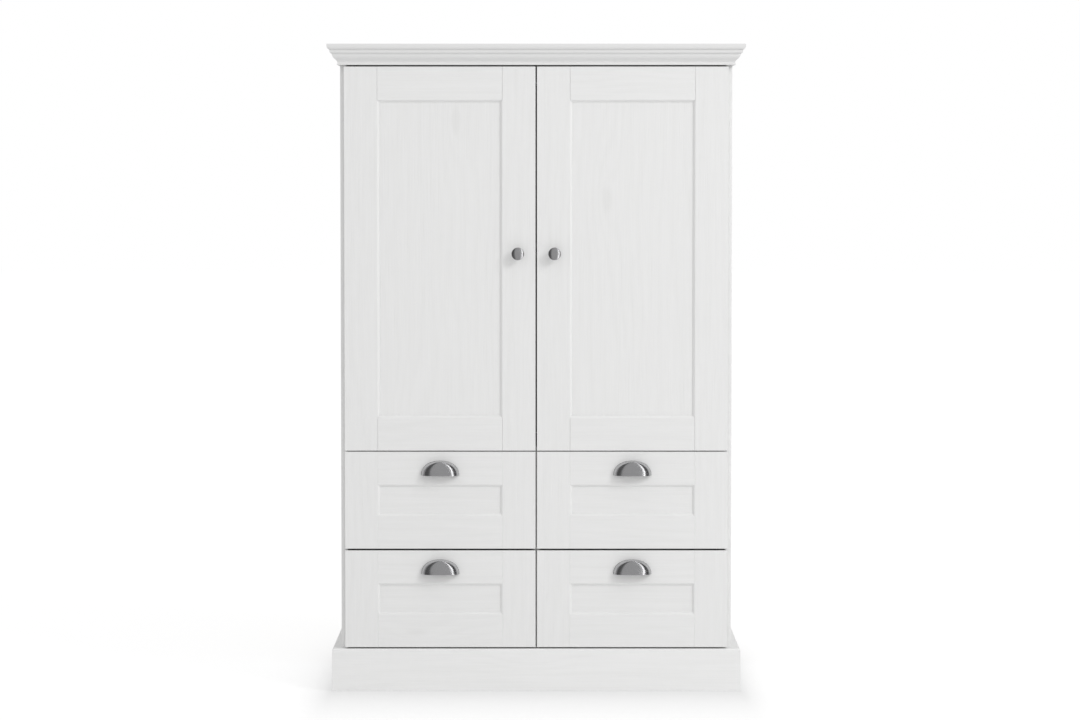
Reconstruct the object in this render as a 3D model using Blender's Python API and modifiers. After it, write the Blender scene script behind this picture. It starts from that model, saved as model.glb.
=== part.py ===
"""Wardrobe with two frame-and-panel doors over four drawers.

Board carcase with a mitred plinth and cornice, doors on concealed hinges,
drawers on roller runners. Metres, +Z up, fronts facing -Y, origin on the
floor at the centre of the overall size.
"""
import math

import bmesh
import bpy
from mathutils import Matrix, Vector

# ---- Driving dimensions -------------------------------------------------
OVERALL_HEIGHT = 1.800
OVERALL_DEPTH = 0.553
BODY_WIDTH = 1.088
BOARD = 0.018
BACK_THICK = 0.003
GAP = 0.0003                      # clearance between pieces that touch
EDGE_ROUND = 0.0010               # softened edges of the foiled boards

PLINTH_HEIGHT = 0.118
PLINTH_THICK = 0.025
PLINTH_CHAMFER = 0.004

CORNICE_HEIGHT = 0.058
CORNICE_OUT = 0.035               # how far the cornice stands out at its top
CORNICE_LAP = 0.0025              # from the moulding's zero line to the door faces

FRONT_WIDTH = 0.531               # doors and drawer fronts
FRONT_CENTRE_GAP = 0.004
FRONT_STANDOFF = 0.0025           # air between the carcase edges and the fronts
DRAWER_FRONT_HEIGHT = 0.271
LOWER_DRAWER_Z = 0.122
UPPER_DRAWER_Z = 0.398
DOOR_Z = 0.672
DOOR_TOP_Z = 1.738

FRAME_WIDTH = 0.092               # stiles and rails, to where the bevel starts
BEVEL_WIDTH = 0.006
BEVEL_DEPTH = 0.005
PANEL_RECESS = 0.006
GROOVE_WIDTH = 0.009
GROOVE_DEPTH = 0.010
PANEL_THICK = GROOVE_WIDTH - 2 * GAP
JOINT_LINE = 0.0008               # half width of the fine V where boards meet

MIDDLE_PANEL_Z = 0.666
SHELF_Z = 1.206
SHELF_SETBACK = 0.030
TOP_BOARD = 0.018

RAIL_RADIUS = 0.0125
RAIL_WALL = 0.0012
RAIL_Z = 1.700

BOX_SIDE_CLEARANCE = 0.013        # runner space beside each drawer box
BOX_HEIGHT = 0.170
BOX_LENGTH = 0.450
BOX_THICK = 0.012
BOX_LIFT = 0.031                  # underside of the box above the front's lower edge
BOX_BOTTOM_THICK = 0.003
BOX_BOTTOM_RISE = 0.010
BOX_GROOVE = 0.006

RUNNER_HEIGHT = 0.033
RUNNER_DROP = 0.016               # how far the runner reaches below the box
RUNNER_DEPTH = 0.0118
RUNNER_STEEL = 0.0012
RUNNER_LENGTH = 0.450
ROLLER_RADIUS = 0.008
ROLLER_SETBACK = 0.016

PIVOT_IN = 0.007                  # door pivot from the door's outer edge
CUP_RADIUS = 0.0175
CUP_DEPTH = 0.0125
CUP_EDGE = 0.003                  # wood left between the cup bore and the door edge
CUP_WALL = 0.0006
HINGE_INSET = 0.110               # hinge centres from the door's top and bottom
CRANK_REACH = 0.013
CRANK_THICK = 0.0015
CRANK_WIDTH = 0.006
BARREL_RADIUS = 0.002

KNOB_FROM_EDGE = 0.049
KNOB_Z = 1.220
KNOB_RADIUS = 0.01775
KNOB_REACH = 0.028

PULL_HALF_WIDTH = 0.053
PULL_HEIGHT = 0.041
PULL_REACH = 0.026
PULL_TOP_DROP = 0.025             # top of the pull below the front's top edge
PULL_FLANGE_THICK = 0.002
PULL_RIM = 0.003                  # flange showing beside the hood
PULL_WALL = 0.0016

# ---- Worked out from them -----------------------------------------------
HALF_BODY = BODY_WIDTH / 2
BAY_HALF = HALF_BODY - BOARD
BACK_Y = OVERALL_DEPTH / 2
BOARDS_BACK_Y = BACK_Y - BACK_THICK - GAP
CARCASE_FRONT = (-OVERALL_DEPTH / 2 + CORNICE_OUT - CORNICE_LAP
                 + BOARD + FRONT_STANDOFF)
FRONT_BACK_Y = CARCASE_FRONT - FRONT_STANDOFF
FRONT_FACE_Y = FRONT_BACK_Y - BOARD
CORNICE_ZERO_Y = FRONT_FACE_Y + CORNICE_LAP
CORNICE_Z = OVERALL_HEIGHT - CORNICE_HEIGHT
TOP_PANEL_TOP = OVERALL_HEIGHT - TOP_BOARD - GAP
INNER_X = FRONT_CENTRE_GAP / 2
OUTER_X = INNER_X + FRONT_WIDTH
PIVOT_X = OUTER_X - PIVOT_IN
PIVOT_Y = FRONT_BACK_Y - BOARD / 2
CUP_X = OUTER_X - CUP_EDGE - CUP_RADIUS
SIDES = (("left", -1), ("right", 1))

WHITE_FOIL = ("white_foil", (0.80, 0.80, 0.80), 0.45, 0.0)
INNER_FOIL = ("inner_foil", (0.76, 0.76, 0.75), 0.50, 0.0)
HARDBOARD = ("hardboard_white", (0.72, 0.72, 0.70), 0.60, 0.0)
SATIN_METAL = ("satin_metal", (0.46, 0.46, 0.47), 0.28, 1.0)
HINGE_STEEL = ("hinge_steel", (0.62, 0.62, 0.63), 0.30, 1.0)
RUNNER_PAINT = ("runner_paint", (0.78, 0.78, 0.78), 0.40, 0.0)
RAIL_CHROME = ("rail_chrome", (0.72, 0.72, 0.73), 0.15, 1.0)


# ---- Scene and helpers --------------------------------------------------
def clear_scene():
    for obj in list(bpy.data.objects):
        bpy.data.objects.remove(obj, do_unlink=True)


def make_collection(name):
    group = bpy.data.collections.new(name)
    bpy.context.scene.collection.children.link(group)
    return group


def make_material(recipe):
    """A plain Principled material, made once and then shared."""
    name, colour, roughness, metallic = recipe
    found = bpy.data.materials.get(name)
    if found:
        return found
    material = bpy.data.materials.new(name)
    material.use_nodes = True
    shader = material.node_tree.nodes["Principled BSDF"]
    shader.inputs["Base Color"].default_value = (*colour, 1.0)
    shader.inputs["Roughness"].default_value = roughness
    shader.inputs["Metallic"].default_value = metallic
    return material


def new_object(name, mesh, recipe=None, place=(0, 0, 0)):
    """An object for a mesh: a part when it has a material, else a cutter."""
    obj = bpy.data.objects.new(name, mesh)
    obj.location = place
    if recipe:
        mesh.materials.append(make_material(recipe))
        PARTS.objects.link(obj)
    else:
        CUTTERS.objects.link(obj)
        obj.hide_render = True
        obj.display_type = "WIRE"
    return obj


def box(name, low, high, recipe=None):
    """A box between two corners, with its origin at its centre."""
    low, high = Vector(low), Vector(high)
    size = high - low
    bm = bmesh.new()
    bmesh.ops.create_cube(bm, size=1.0)
    bmesh.ops.scale(bm, vec=size, verts=bm.verts)
    mesh = bpy.data.meshes.new(name)
    bm.to_mesh(mesh)
    bm.free()
    return new_object(name, mesh, recipe, (low + high) / 2)


# A 2D curve lies in local XY and is extruded along local Z. Each entry turns
# that plane to face one world axis: outline points are (y, z), (x, z) or (x, y).
PLANES = {
    "X": Matrix(((0, 0, 1, 0), (1, 0, 0, 0), (0, 1, 0, 0), (0, 0, 0, 1))),
    "Y": Matrix(((1, 0, 0, 0), (0, 0, -1, 0), (0, 1, 0, 0), (0, 0, 0, 1))),
    "Z": Matrix.Identity(4),
}
AXIS_NUMBER = {"X": 0, "Y": 1, "Z": 2}


def extruded(name, outline, axis, low, high, recipe=None):
    """A flat outline extruded along a world axis from low to high."""
    curve = bpy.data.curves.new(name + "_outline", "CURVE")
    curve.dimensions = "2D"
    curve.fill_mode = "BOTH"
    curve.extrude = (high - low) / 2
    spline = curve.splines.new("POLY")
    spline.points.add(len(outline) - 1)
    for point, (u, v) in zip(spline.points, outline):
        point.co = (u, v, 0, 1)
    spline.use_cyclic_u = True
    guide = bpy.data.objects.new(name + "_outline", curve)
    CUTTERS.objects.link(guide)
    depsgraph = bpy.context.evaluated_depsgraph_get()
    mesh = bpy.data.meshes.new_from_object(guide.evaluated_get(depsgraph))
    bpy.data.objects.remove(guide, do_unlink=True)

    mesh.name = name
    mesh.transform(PLANES[axis])
    bm = bmesh.new()
    bm.from_mesh(mesh)
    bmesh.ops.remove_doubles(bm, verts=bm.verts, dist=1e-6)
    bmesh.ops.dissolve_limit(bm, angle_limit=math.radians(0.5),
                             verts=bm.verts, edges=bm.edges)
    bmesh.ops.recalc_face_normals(bm, faces=bm.faces)
    bm.to_mesh(mesh)
    bm.free()
    place = [0, 0, 0]
    place[AXIS_NUMBER[axis]] = (low + high) / 2
    return new_object(name, mesh, recipe, place)


def turned(name, profile, steps, recipe=None, place=(0, 0, 0)):
    """A profile of (radius, height) turned about Z, then laid along -Y."""
    mesh = bpy.data.meshes.new(name)
    downwards = reversed(profile)         # so that the faces look outward
    points = [(radius, 0, height) for radius, height in downwards]
    mesh.from_pydata(points, [(i, i + 1) for i in range(len(points) - 1)], [])
    obj = new_object(name, mesh, recipe, place)
    obj.rotation_euler = (math.pi / 2, 0, 0)
    screw = obj.modifiers.new("turn", "SCREW")
    screw.axis = "Z"
    screw.steps = steps
    screw.render_steps = steps
    screw.use_merge_vertices = True
    screw.merge_threshold = 0.00001
    screw.use_smooth_shade = True
    return obj


def cylinder(name, radius, axis, low, high, centre, segments, recipe=None):
    """A capped cylinder along a world axis; centre gives the other two places."""
    bm = bmesh.new()
    bmesh.ops.create_cone(bm, cap_ends=True, segments=segments,
                          radius1=radius, radius2=radius, depth=high - low)
    mesh = bpy.data.meshes.new(name)
    bm.to_mesh(mesh)
    bm.free()
    mesh.transform(PLANES[axis])
    place = list(centre)
    place.insert(AXIS_NUMBER[axis], (low + high) / 2)
    return new_object(name, mesh, recipe, place)


def soften(obj, width=EDGE_ROUND, segments=2):
    """Rounded edges."""
    bevel = obj.modifiers.new("soft_edges", "BEVEL")
    bevel.width = width
    bevel.segments = segments
    bevel.limit_method = "ANGLE"
    bevel.harden_normals = False
    return obj


def combine(obj, other, operation):
    boolean = obj.modifiers.new(operation.lower(), "BOOLEAN")
    boolean.operation = operation
    boolean.solver = "EXACT"
    boolean.object = other
    return obj


def cut(obj, *cutters):
    for cutter in cutters:
        combine(obj, cutter, "DIFFERENCE")
    return obj


def axis_empty(name, place, parts):
    """An empty on a joint's axis that carries the pieces that move with it."""
    empty = bpy.data.objects.new(name, None)
    empty.location = place
    empty.empty_display_size = 0.05
    PARTS.objects.link(empty)
    for part in parts:
        part.parent = empty
        part.location = Vector(part.location) - Vector(place)


def arc(centre, radius, start, end, steps):
    """Points along a circle arc, angles in degrees, ends included."""
    points = []
    for i in range(steps + 1):
        angle = math.radians(start + (end - start) * i / steps)
        points.append((centre[0] + radius * math.cos(angle),
                       centre[1] + radius * math.sin(angle)))
    return points


# ---- Carcase ------------------------------------------------------------
def build_carcase():
    """Two sides, three level boards, a partition between drawers, a back."""
    for side, sign in SIDES:
        ends = sorted((sign * HALF_BODY, sign * (BAY_HALF + GAP)))
        soften(box("side_" + side,
                   (ends[0], CARCASE_FRONT, 0),
                   (ends[1], BOARDS_BACK_Y, TOP_PANEL_TOP), WHITE_FOIL))

    levels = (("bottom_panel", PLINTH_HEIGHT - BOARD),
              ("middle_panel", MIDDLE_PANEL_Z),
              ("top_panel", TOP_PANEL_TOP - BOARD))
    for name, z in levels:
        soften(box(name, (-BAY_HALF, CARCASE_FRONT, z),
                   (BAY_HALF, BOARDS_BACK_Y, z + BOARD), INNER_FOIL))

    soften(box("centre_partition",
               (-BOARD / 2, CARCASE_FRONT, PLINTH_HEIGHT + GAP),
               (BOARD / 2, BOARDS_BACK_Y, MIDDLE_PANEL_Z - GAP), INNER_FOIL))

    box("back_panel",
        (-HALF_BODY + GAP, BACK_Y - BACK_THICK, PLINTH_HEIGHT - BOARD),
        (HALF_BODY - GAP, BACK_Y, TOP_PANEL_TOP), HARDBOARD)

    soften(box("shelf",
               (-BAY_HALF + GAP, CARCASE_FRONT + SHELF_SETBACK, SHELF_Z),
               (BAY_HALF - GAP, BOARDS_BACK_Y - GAP, SHELF_Z + BOARD), INNER_FOIL))

    middle = ((CARCASE_FRONT + BACK_Y) / 2, RAIL_Z)
    rail = cylinder("hanging_rail", RAIL_RADIUS, "X", -BAY_HALF + GAP, BAY_HALF - GAP,
                    middle, 32, RAIL_CHROME)
    cut(rail, cylinder("rail_hollow", RAIL_RADIUS - RAIL_WALL, "X",
                       -HALF_BODY, HALF_BODY, middle, 32))


# ---- Plinth -------------------------------------------------------------
def build_plinth():
    """Three boards wrapped round the foot, mitred at the front corners."""
    inner_x = HALF_BODY + GAP
    outer_x = inner_x + PLINTH_THICK
    back = CARCASE_FRONT - GAP
    front = back - PLINTH_THICK
    mitre = GAP / 2
    outline = [(-outer_x + mitre, front), (outer_x - mitre, front),
               (inner_x - mitre, back), (-inner_x + mitre, back)]
    board = extruded("plinth_front", outline, "Z", 0, PLINTH_HEIGHT, WHITE_FOIL)
    cut(board, plinth_chamfer("front", "X", (front, PLINTH_HEIGHT), 1, outer_x))

    for side, sign in SIDES:
        outline = [(sign * inner_x, back + mitre), (sign * outer_x, front + mitre),
                   (sign * outer_x, BACK_Y), (sign * inner_x, BACK_Y)]
        board = extruded("plinth_" + side, outline, "Z", 0, PLINTH_HEIGHT, WHITE_FOIL)
        corner = (sign * outer_x, PLINTH_HEIGHT)
        cut(board, plinth_chamfer(side, "Y", corner, -sign, OVERALL_DEPTH))


def plinth_chamfer(label, axis, corner, inward, reach):
    """A cutter that takes the outer top edge off a plinth board."""
    u, v = corner
    beyond = PLINTH_CHAMFER * 1.5
    outline = [(u + inward * beyond, v + PLINTH_CHAMFER / 2),
               (u - inward * beyond, v + PLINTH_CHAMFER / 2),
               (u - inward * beyond, v - PLINTH_CHAMFER * 2.5)]
    return extruded("chamfer_" + label, outline, axis, -reach, reach)


# ---- Cornice ------------------------------------------------------------
def cornice_profile():
    """(projection, height) from the foot of the moulding to its top."""
    bead = [(0.0045, 0), (0.0055, 0.001), (0.0055, 0.007), (0.0065, 0.008)]
    cove = arc((0.0245, 0.0085), 0.018, 180, 104, 6)
    fillet = [(0.0205, 0.0275), (0.0205, 0.031)]
    ovolo = arc((0.0215, 0.0370), 0.0055, 270, 350, 4)
    step = [(0.0275, 0.0375), (0.0275, 0.041)]
    cyma = arc((0.0285, 0.0465), 0.0048, 275, 350, 4)
    crown = [(CORNICE_OUT - 0.0005, 0.047), (CORNICE_OUT, 0.048),
             (CORNICE_OUT, CORNICE_HEIGHT - 0.001),
             (CORNICE_OUT - 0.001, CORNICE_HEIGHT)]
    return bead + cove + fillet + ovolo + step + cyma + crown


def build_cornice():
    """A front moulding and two returns, mitred, round a flush top board."""
    profile = cornice_profile()
    front_back = CARCASE_FRONT - GAP
    outline = [(CORNICE_ZERO_Y - out, CORNICE_Z + up) for out, up in profile]
    outline += [(front_back, OVERALL_HEIGHT), (front_back, CORNICE_Z)]
    reach = HALF_BODY + CORNICE_OUT
    front = extruded("cornice_front", outline, "X", -reach, reach, WHITE_FOIL)
    for side, sign in SIDES:
        cut(front, mitre_cutter(side, sign))

    inner = GAP
    for side, sign in SIDES:
        outline = [(sign * (HALF_BODY + out), CORNICE_Z + up) for out, up in profile]
        outline += [(sign * (HALF_BODY + inner), OVERALL_HEIGHT),
                    (sign * (HALF_BODY + inner), CORNICE_Z)]
        piece = extruded("cornice_" + side, outline, "Y",
                         CORNICE_ZERO_Y, BACK_Y, WHITE_FOIL)
        shear_front_end(piece)

    box("cornice_top_board",
        (-HALF_BODY, CARCASE_FRONT, OVERALL_HEIGHT - TOP_BOARD),
        (HALF_BODY, BACK_Y, OVERALL_HEIGHT), WHITE_FOIL)


def mitre_cutter(side, sign):
    """Removes the end of the front moulding: square behind, 45 degrees ahead."""
    edge = HALF_BODY - GAP / 2
    beyond = 2 * CORNICE_OUT
    behind = CARCASE_FRONT + beyond
    outline = [(sign * edge, behind), (sign * edge, CORNICE_ZERO_Y),
               (sign * (edge + beyond), CORNICE_ZERO_Y - beyond),
               (sign * (edge + 2 * beyond), CORNICE_ZERO_Y - beyond),
               (sign * (edge + 2 * beyond), behind)]
    return extruded("mitre_" + side, outline, "Z", CORNICE_Z - beyond,
                    OVERALL_HEIGHT + beyond)


def shear_front_end(piece):
    """Slants the front end of a return to its mitre plane."""
    for vertex in piece.data.vertices:
        if vertex.co.y < 0:
            vertex.co.y -= abs(vertex.co.x) - HALF_BODY - GAP


# ---- Frame-and-panel doors ----------------------------------------------
def opening_cutters(label, low_x, high_x, low_z, high_z, through):
    """Cutters for the bevelled recess inside a frame, named after its front."""
    start = FRAME_WIDTH
    sight = FRAME_WIDTH + BEVEL_WIDTH
    over = 0.001                  # cutter stands this far proud of the face
    flare = over * BEVEL_WIDTH / BEVEL_DEPTH
    middle = Vector(((low_x + high_x) / 2, 0, (low_z + high_z) / 2))
    half = Vector(((high_x - low_x) / 2, 0, (high_z - low_z) / 2))

    bevel = box("bevel_" + label,
                (low_x + sight, FRONT_FACE_Y - over, low_z + sight),
                (high_x - sight, FRONT_FACE_Y + BEVEL_DEPTH, high_z - sight))
    for vertex in bevel.data.vertices:
        if vertex.co.y < 0:
            vertex.co.x = math.copysign(half.x - start + flare, vertex.co.x)
            vertex.co.z = math.copysign(half.z - start + flare, vertex.co.z)

    depth = BOARD + over if through else PANEL_RECESS
    recess = box("recess_" + label,
                 (low_x + sight, FRONT_FACE_Y - over, low_z + sight),
                 (high_x - sight, FRONT_FACE_Y + depth, high_z - sight))
    cutters = [bevel, recess]
    if through:
        edge = sight - GROOVE_DEPTH
        cutters.append(box("groove_" + label,
                           (low_x + edge, FRONT_FACE_Y + PANEL_RECESS, low_z + edge),
                           (high_x - edge, FRONT_FACE_Y + PANEL_RECESS + GROOVE_WIDTH,
                            high_z - edge)))
    return cutters


def stile_outline(outer_x, sign, low_z, high_z):
    """Full-height board with a mitred lip along the panel; (x, z) points."""
    joint = FRAME_WIDTH - GAP / 2
    lip = FRAME_WIDTH + BEVEL_WIDTH + 0.002
    slack = GAP * 0.7
    shape = [(0, low_z), (joint, low_z), (joint, low_z + joint + slack),
             (lip, low_z + lip + slack), (lip, high_z - lip - slack),
             (joint, high_z - joint - slack), (joint, high_z), (0, high_z)]
    return [(outer_x + sign * u, z) for u, z in shape]


def rail_outline(low_x, high_x, edge_z, sign):
    """Board between the stiles, mitred lip towards the panel; (x, z) points."""
    joint = FRAME_WIDTH + GAP / 2
    lip = FRAME_WIDTH + BEVEL_WIDTH + 0.002
    slack = GAP * 0.7
    shape = [(low_x + joint, 0), (high_x - joint, 0),
             (high_x - joint, joint - slack), (high_x - lip, lip - slack),
             (low_x + lip, lip - slack), (low_x + joint, joint - slack)]
    return [(x, edge_z + sign * up) for x, up in shape]


def build_door(side, sign):
    """Stiles, rails, panel, knob, hinge cups and the arms they turn on."""
    name = "door_" + side
    low_x, high_x = sorted((sign * INNER_X, sign * OUTER_X))
    cutters = opening_cutters(name, low_x, high_x, DOOR_Z, DOOR_TOP_Z, True)

    outlines = {
        "stile_hinge": stile_outline(sign * OUTER_X, -sign, DOOR_Z, DOOR_TOP_Z),
        "stile_centre": stile_outline(sign * INNER_X, sign, DOOR_Z, DOOR_TOP_Z),
        "rail_top": rail_outline(low_x, high_x, DOOR_TOP_Z, -1),
        "rail_bottom": rail_outline(low_x, high_x, DOOR_Z, 1),
    }
    moving = {}
    for part, outline in outlines.items():
        board = extruded(name + "_" + part, outline, "Y",
                         FRONT_FACE_Y, FRONT_BACK_Y, WHITE_FOIL)
        soften(board, JOINT_LINE)
        moving[part] = cut(board, *cutters)

    edge = FRAME_WIDTH + BEVEL_WIDTH - GROOVE_DEPTH + GAP
    panel_y = FRONT_FACE_Y + PANEL_RECESS + GAP
    moving["panel"] = box(name + "_panel",
                          (low_x + edge, panel_y, DOOR_Z + edge),
                          (high_x - edge, panel_y + PANEL_THICK, DOOR_TOP_Z - edge),
                          WHITE_FOIL)
    knob_x = sign * (INNER_X + KNOB_FROM_EDGE)
    moving["knob"] = turned(name + "_knob", knob_profile(), 32, SATIN_METAL,
                            (knob_x, FRONT_FACE_Y - GAP, KNOB_Z))

    for level, z in (("lower", DOOR_Z + HINGE_INSET), ("upper", DOOR_TOP_Z - HINGE_INSET)):
        label = name + "_hinge_cup_" + level
        bore = cylinder("bore_" + label, CUP_RADIUS, "Y",
                        FRONT_BACK_Y - CUP_DEPTH, FRONT_BACK_Y + CUP_DEPTH,
                        (sign * CUP_X, z), 32)
        cut(moving["stile_hinge"], bore)
        moving[label] = hinge_cup(label, sign, z)
        hinge_arm("hinge_arm_" + side + "_" + level, sign, z)

    axis_empty(name + "_hinge_axis", (sign * PIVOT_X, PIVOT_Y, 0), moving.values())


def knob_profile():
    """(radius, height): rose against the door, waisted neck, domed head."""
    rose = [(0, 0), (0.0085, 0), (0.0085, 0.0015)]
    neck = [(0.0060, 0.0045), (0.0052, 0.0085), (0.0065, 0.0125)]
    under = [(0.0110, 0.0155), (KNOB_RADIUS - 0.0008, 0.0170)]
    rim = [(KNOB_RADIUS, 0.0180)]
    rim_height = 0.0192
    dome = []
    for i in range(7):
        angle = math.pi / 2 * i / 6
        dome.append((KNOB_RADIUS * math.cos(angle),
                     rim_height + (KNOB_REACH - rim_height) * math.sin(angle)))
    dome[-1] = (0, KNOB_REACH)
    return rose + neck + under + rim + dome


def hinge_cup(name, sign, z):
    """Steel cup let into the door, with screw ears above and below it."""
    radius = CUP_RADIUS - GAP
    floor = FRONT_BACK_Y - CUP_DEPTH + GAP
    ear_half = (0.009, 0.027)
    ear_thick = 0.001
    cup = cylinder(name, radius, "Y", floor, FRONT_BACK_Y + GAP,
                   (sign * CUP_X, z), 32, HINGE_STEEL)
    ears = box("ears_" + name,
               (sign * CUP_X - ear_half[0], FRONT_BACK_Y + GAP / 2, z - ear_half[1]),
               (sign * CUP_X + ear_half[0], FRONT_BACK_Y + ear_thick, z + ear_half[1]))
    hollow = cylinder("hollow_" + name, radius - CUP_WALL, "Y",
                      floor + CUP_WALL, FRONT_BACK_Y + CUP_DEPTH,
                      (sign * CUP_X, z), 32)
    combine(cup, ears, "UNION")
    return cut(cup, hollow)


def hinge_arm(name, sign, z):
    """Carcase half of a hinge: wing plate, arm and the crank to the pivot."""
    arm_x = sorted((sign * (BAY_HALF - 0.018), sign * (BAY_HALF - 0.008)))
    arm_front = CARCASE_FRONT + 0.003
    arm = box(name, (arm_x[0], arm_front, z - 0.007),
              (arm_x[1], arm_front + 0.056, z + 0.007), HINGE_STEEL)
    soften(arm, 0.0015)

    plate_x = sorted((sign * (BAY_HALF - 0.009), sign * (BAY_HALF - GAP)))
    plate = box("plate_" + name, (plate_x[0], arm_front + 0.024, z - 0.009),
                (plate_x[1], arm_front + 0.052, z + 0.009))
    wing_x = sorted((sign * (BAY_HALF - 0.002), sign * (BAY_HALF - GAP)))
    wing = box("wing_" + name, (wing_x[0], arm_front + 0.026, z - 0.027),
               (wing_x[1], arm_front + 0.044, z + 0.027))

    half = CRANK_THICK / 2
    far = PIVOT_X - CRANK_REACH
    shape = [(PIVOT_X, PIVOT_Y - half), (PIVOT_X, PIVOT_Y + half),
             (far + half, PIVOT_Y + half), (far + half, arm_front + 0.004),
             (far - half, arm_front + 0.004), (far - half, PIVOT_Y - half)]
    crank = extruded("crank_" + name, [(sign * x, y) for x, y in shape], "Z",
                     z - CRANK_WIDTH / 2, z + CRANK_WIDTH / 2)
    barrel = cylinder("barrel_" + name, BARREL_RADIUS, "Z",
                      z - CRANK_WIDTH / 2 - 0.001, z + CRANK_WIDTH / 2 + 0.001,
                      (sign * PIVOT_X, PIVOT_Y), 16)
    for piece in (plate, wing, crank, barrel):
        combine(arm, piece, "UNION")


# ---- Drawers and runners ------------------------------------------------
def build_drawer(side, sign, level, front_z):
    """Front, folded box, bottom and pull, with two runners on the carcase."""
    name = "drawer_" + level + "_" + side
    low_x, high_x = sorted((sign * INNER_X, sign * OUTER_X))
    top_z = front_z + DRAWER_FRONT_HEIGHT

    front = soften(box(name + "_front", (low_x, FRONT_FACE_Y, front_z),
                       (high_x, FRONT_BACK_Y, top_z), WHITE_FOIL))
    cut(front, *opening_cutters(name, low_x, high_x, front_z, top_z, False))
    inset = FRAME_WIDTH - JOINT_LINE / 2
    reach = FRAME_WIDTH + BEVEL_WIDTH / 3
    for x in (low_x + inset, high_x - inset):
        for label, base, tip in (("low", front_z, reach), ("high", top_z, -reach)):
            cut(front, joint_line(f"joint_{name}_{label}", x, base, tip))

    bay_inner, bay_outer = BOARD / 2, BAY_HALF
    box_low, box_high = sorted((sign * (bay_inner + BOX_SIDE_CLEARANCE),
                                sign * (bay_outer - BOX_SIDE_CLEARANCE)))
    box_z = front_z + BOX_LIFT
    box_front = FRONT_BACK_Y + GAP
    box_back = box_front + BOX_LENGTH
    outline = [(box_low, box_front), (box_low, box_back),
               (box_high, box_back), (box_high, box_front),
               (box_high - BOX_THICK, box_front),
               (box_high - BOX_THICK, box_back - BOX_THICK),
               (box_low + BOX_THICK, box_back - BOX_THICK),
               (box_low + BOX_THICK, box_front)]
    body = extruded(name + "_box", outline, "Z", box_z, box_z + BOX_HEIGHT, INNER_FOIL)
    bottom_low = box_z + BOX_BOTTOM_RISE
    inset = BOX_THICK - BOX_GROOVE
    groove = box("groove_" + name,
                 (box_low + inset, box_front - BOX_THICK, bottom_low - GAP),
                 (box_high - inset, box_back - inset,
                  bottom_low + BOX_BOTTOM_THICK + GAP))
    cut(body, groove)
    bottom = box(name + "_bottom",
                 (box_low + inset + GAP, box_front + GAP, bottom_low),
                 (box_high - inset - GAP, box_back - inset - GAP,
                  bottom_low + BOX_BOTTOM_THICK), HARDBOARD)

    pull = build_pull(name + "_pull", (low_x + high_x) / 2, top_z - PULL_TOP_DROP)
    axis_empty(name + "_slide", ((low_x + high_x) / 2, FRONT_FACE_Y, box_z),
               (front, body, bottom, pull))

    for place, face, inward in (("inner", sign * bay_inner, sign),
                                ("outer", sign * bay_outer, -sign)):
        build_runner(f"runner_{level}_{side}_{place}", face, inward, box_z)


def joint_line(name, x, edge_z, tip):
    """A fine V along x, from an edge into the bevelled recess."""
    deep = JOINT_LINE
    outline = [(x - 2 * deep, FRONT_FACE_Y - deep), (x + 2 * deep, FRONT_FACE_Y - deep),
               (x, FRONT_FACE_Y + deep)]
    overshoot = -math.copysign(deep, tip)
    low, high = sorted((edge_z + overshoot, edge_z + tip))
    return extruded(name, outline, "Z", low, high)


def build_runner(name, face, inward, box_z):
    """A pressed channel on the bay wall with a roller at its front end."""
    low_z = box_z - RUNNER_DROP
    high_z = low_z + RUNNER_HEIGHT
    start = face + inward * GAP
    steel = RUNNER_STEEL
    shape = [(0, low_z), (RUNNER_DEPTH, low_z), (RUNNER_DEPTH, low_z + steel),
             (steel, low_z + steel), (steel, high_z - steel),
             (RUNNER_DEPTH, high_z - steel), (RUNNER_DEPTH, high_z), (0, high_z)]
    outline = [(start + inward * u, z) for u, z in shape]
    front = CARCASE_FRONT + 0.002
    runner = extruded(name, outline, "Y", front, front + RUNNER_LENGTH, RUNNER_PAINT)
    ends = sorted((start + inward * steel / 2, start + inward * (RUNNER_DEPTH - 0.001)))
    roller = cylinder("roller_" + name, ROLLER_RADIUS, "X", ends[0], ends[1],
                      (front + ROLLER_SETBACK, box_z - 0.002 - ROLLER_RADIUS + 0.004), 24)
    combine(runner, roller, "UNION")


# ---- Cup pulls ----------------------------------------------------------
def build_pull(name, x, top_z):
    """A hooded cup pull: half-round flange and a hollow hood, open below."""
    foot_z = top_z - PULL_HEIGHT
    face = FRONT_FACE_Y - GAP
    hood_half = PULL_HALF_WIDTH - PULL_RIM
    hood_height = PULL_HEIGHT - PULL_RIM / 2

    flange = extruded(name, half_round(x, foot_z, PULL_HALF_WIDTH, PULL_HEIGHT), "Y",
                      face - PULL_FLANGE_THICK, face, SATIN_METAL)
    outer = hood_solid("hood_" + name, hood_half, PULL_REACH, hood_height,
                       (x, face, foot_z))
    inner = hood_solid("hollow_" + name, hood_half - PULL_WALL, PULL_REACH - PULL_WALL,
                       hood_height - PULL_WALL, (x, face, foot_z))
    underside = box("under_" + name,
                    (x - 2 * PULL_HALF_WIDTH, face - 2 * PULL_REACH, foot_z - PULL_HEIGHT),
                    (x + 2 * PULL_HALF_WIDTH, face + PULL_REACH, foot_z))
    behind = box("behind_" + name,
                 (x - 2 * PULL_HALF_WIDTH, face, foot_z - PULL_HEIGHT),
                 (x + 2 * PULL_HALF_WIDTH, face + 2 * PULL_REACH, top_z + PULL_HEIGHT))
    combine(flange, outer, "UNION")
    return cut(flange, inner, underside, behind)


def half_round(x, foot_z, half_width, height):
    """Outline of a flattened half circle standing on its straight side."""
    points = []
    steps = 24
    for i in range(steps + 1):
        angle = math.pi * i / steps
        across = math.copysign(abs(math.cos(angle)) ** 0.9, math.cos(angle))
        points.append((x + half_width * across, foot_z + height * math.sin(angle)))
    return points


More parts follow.
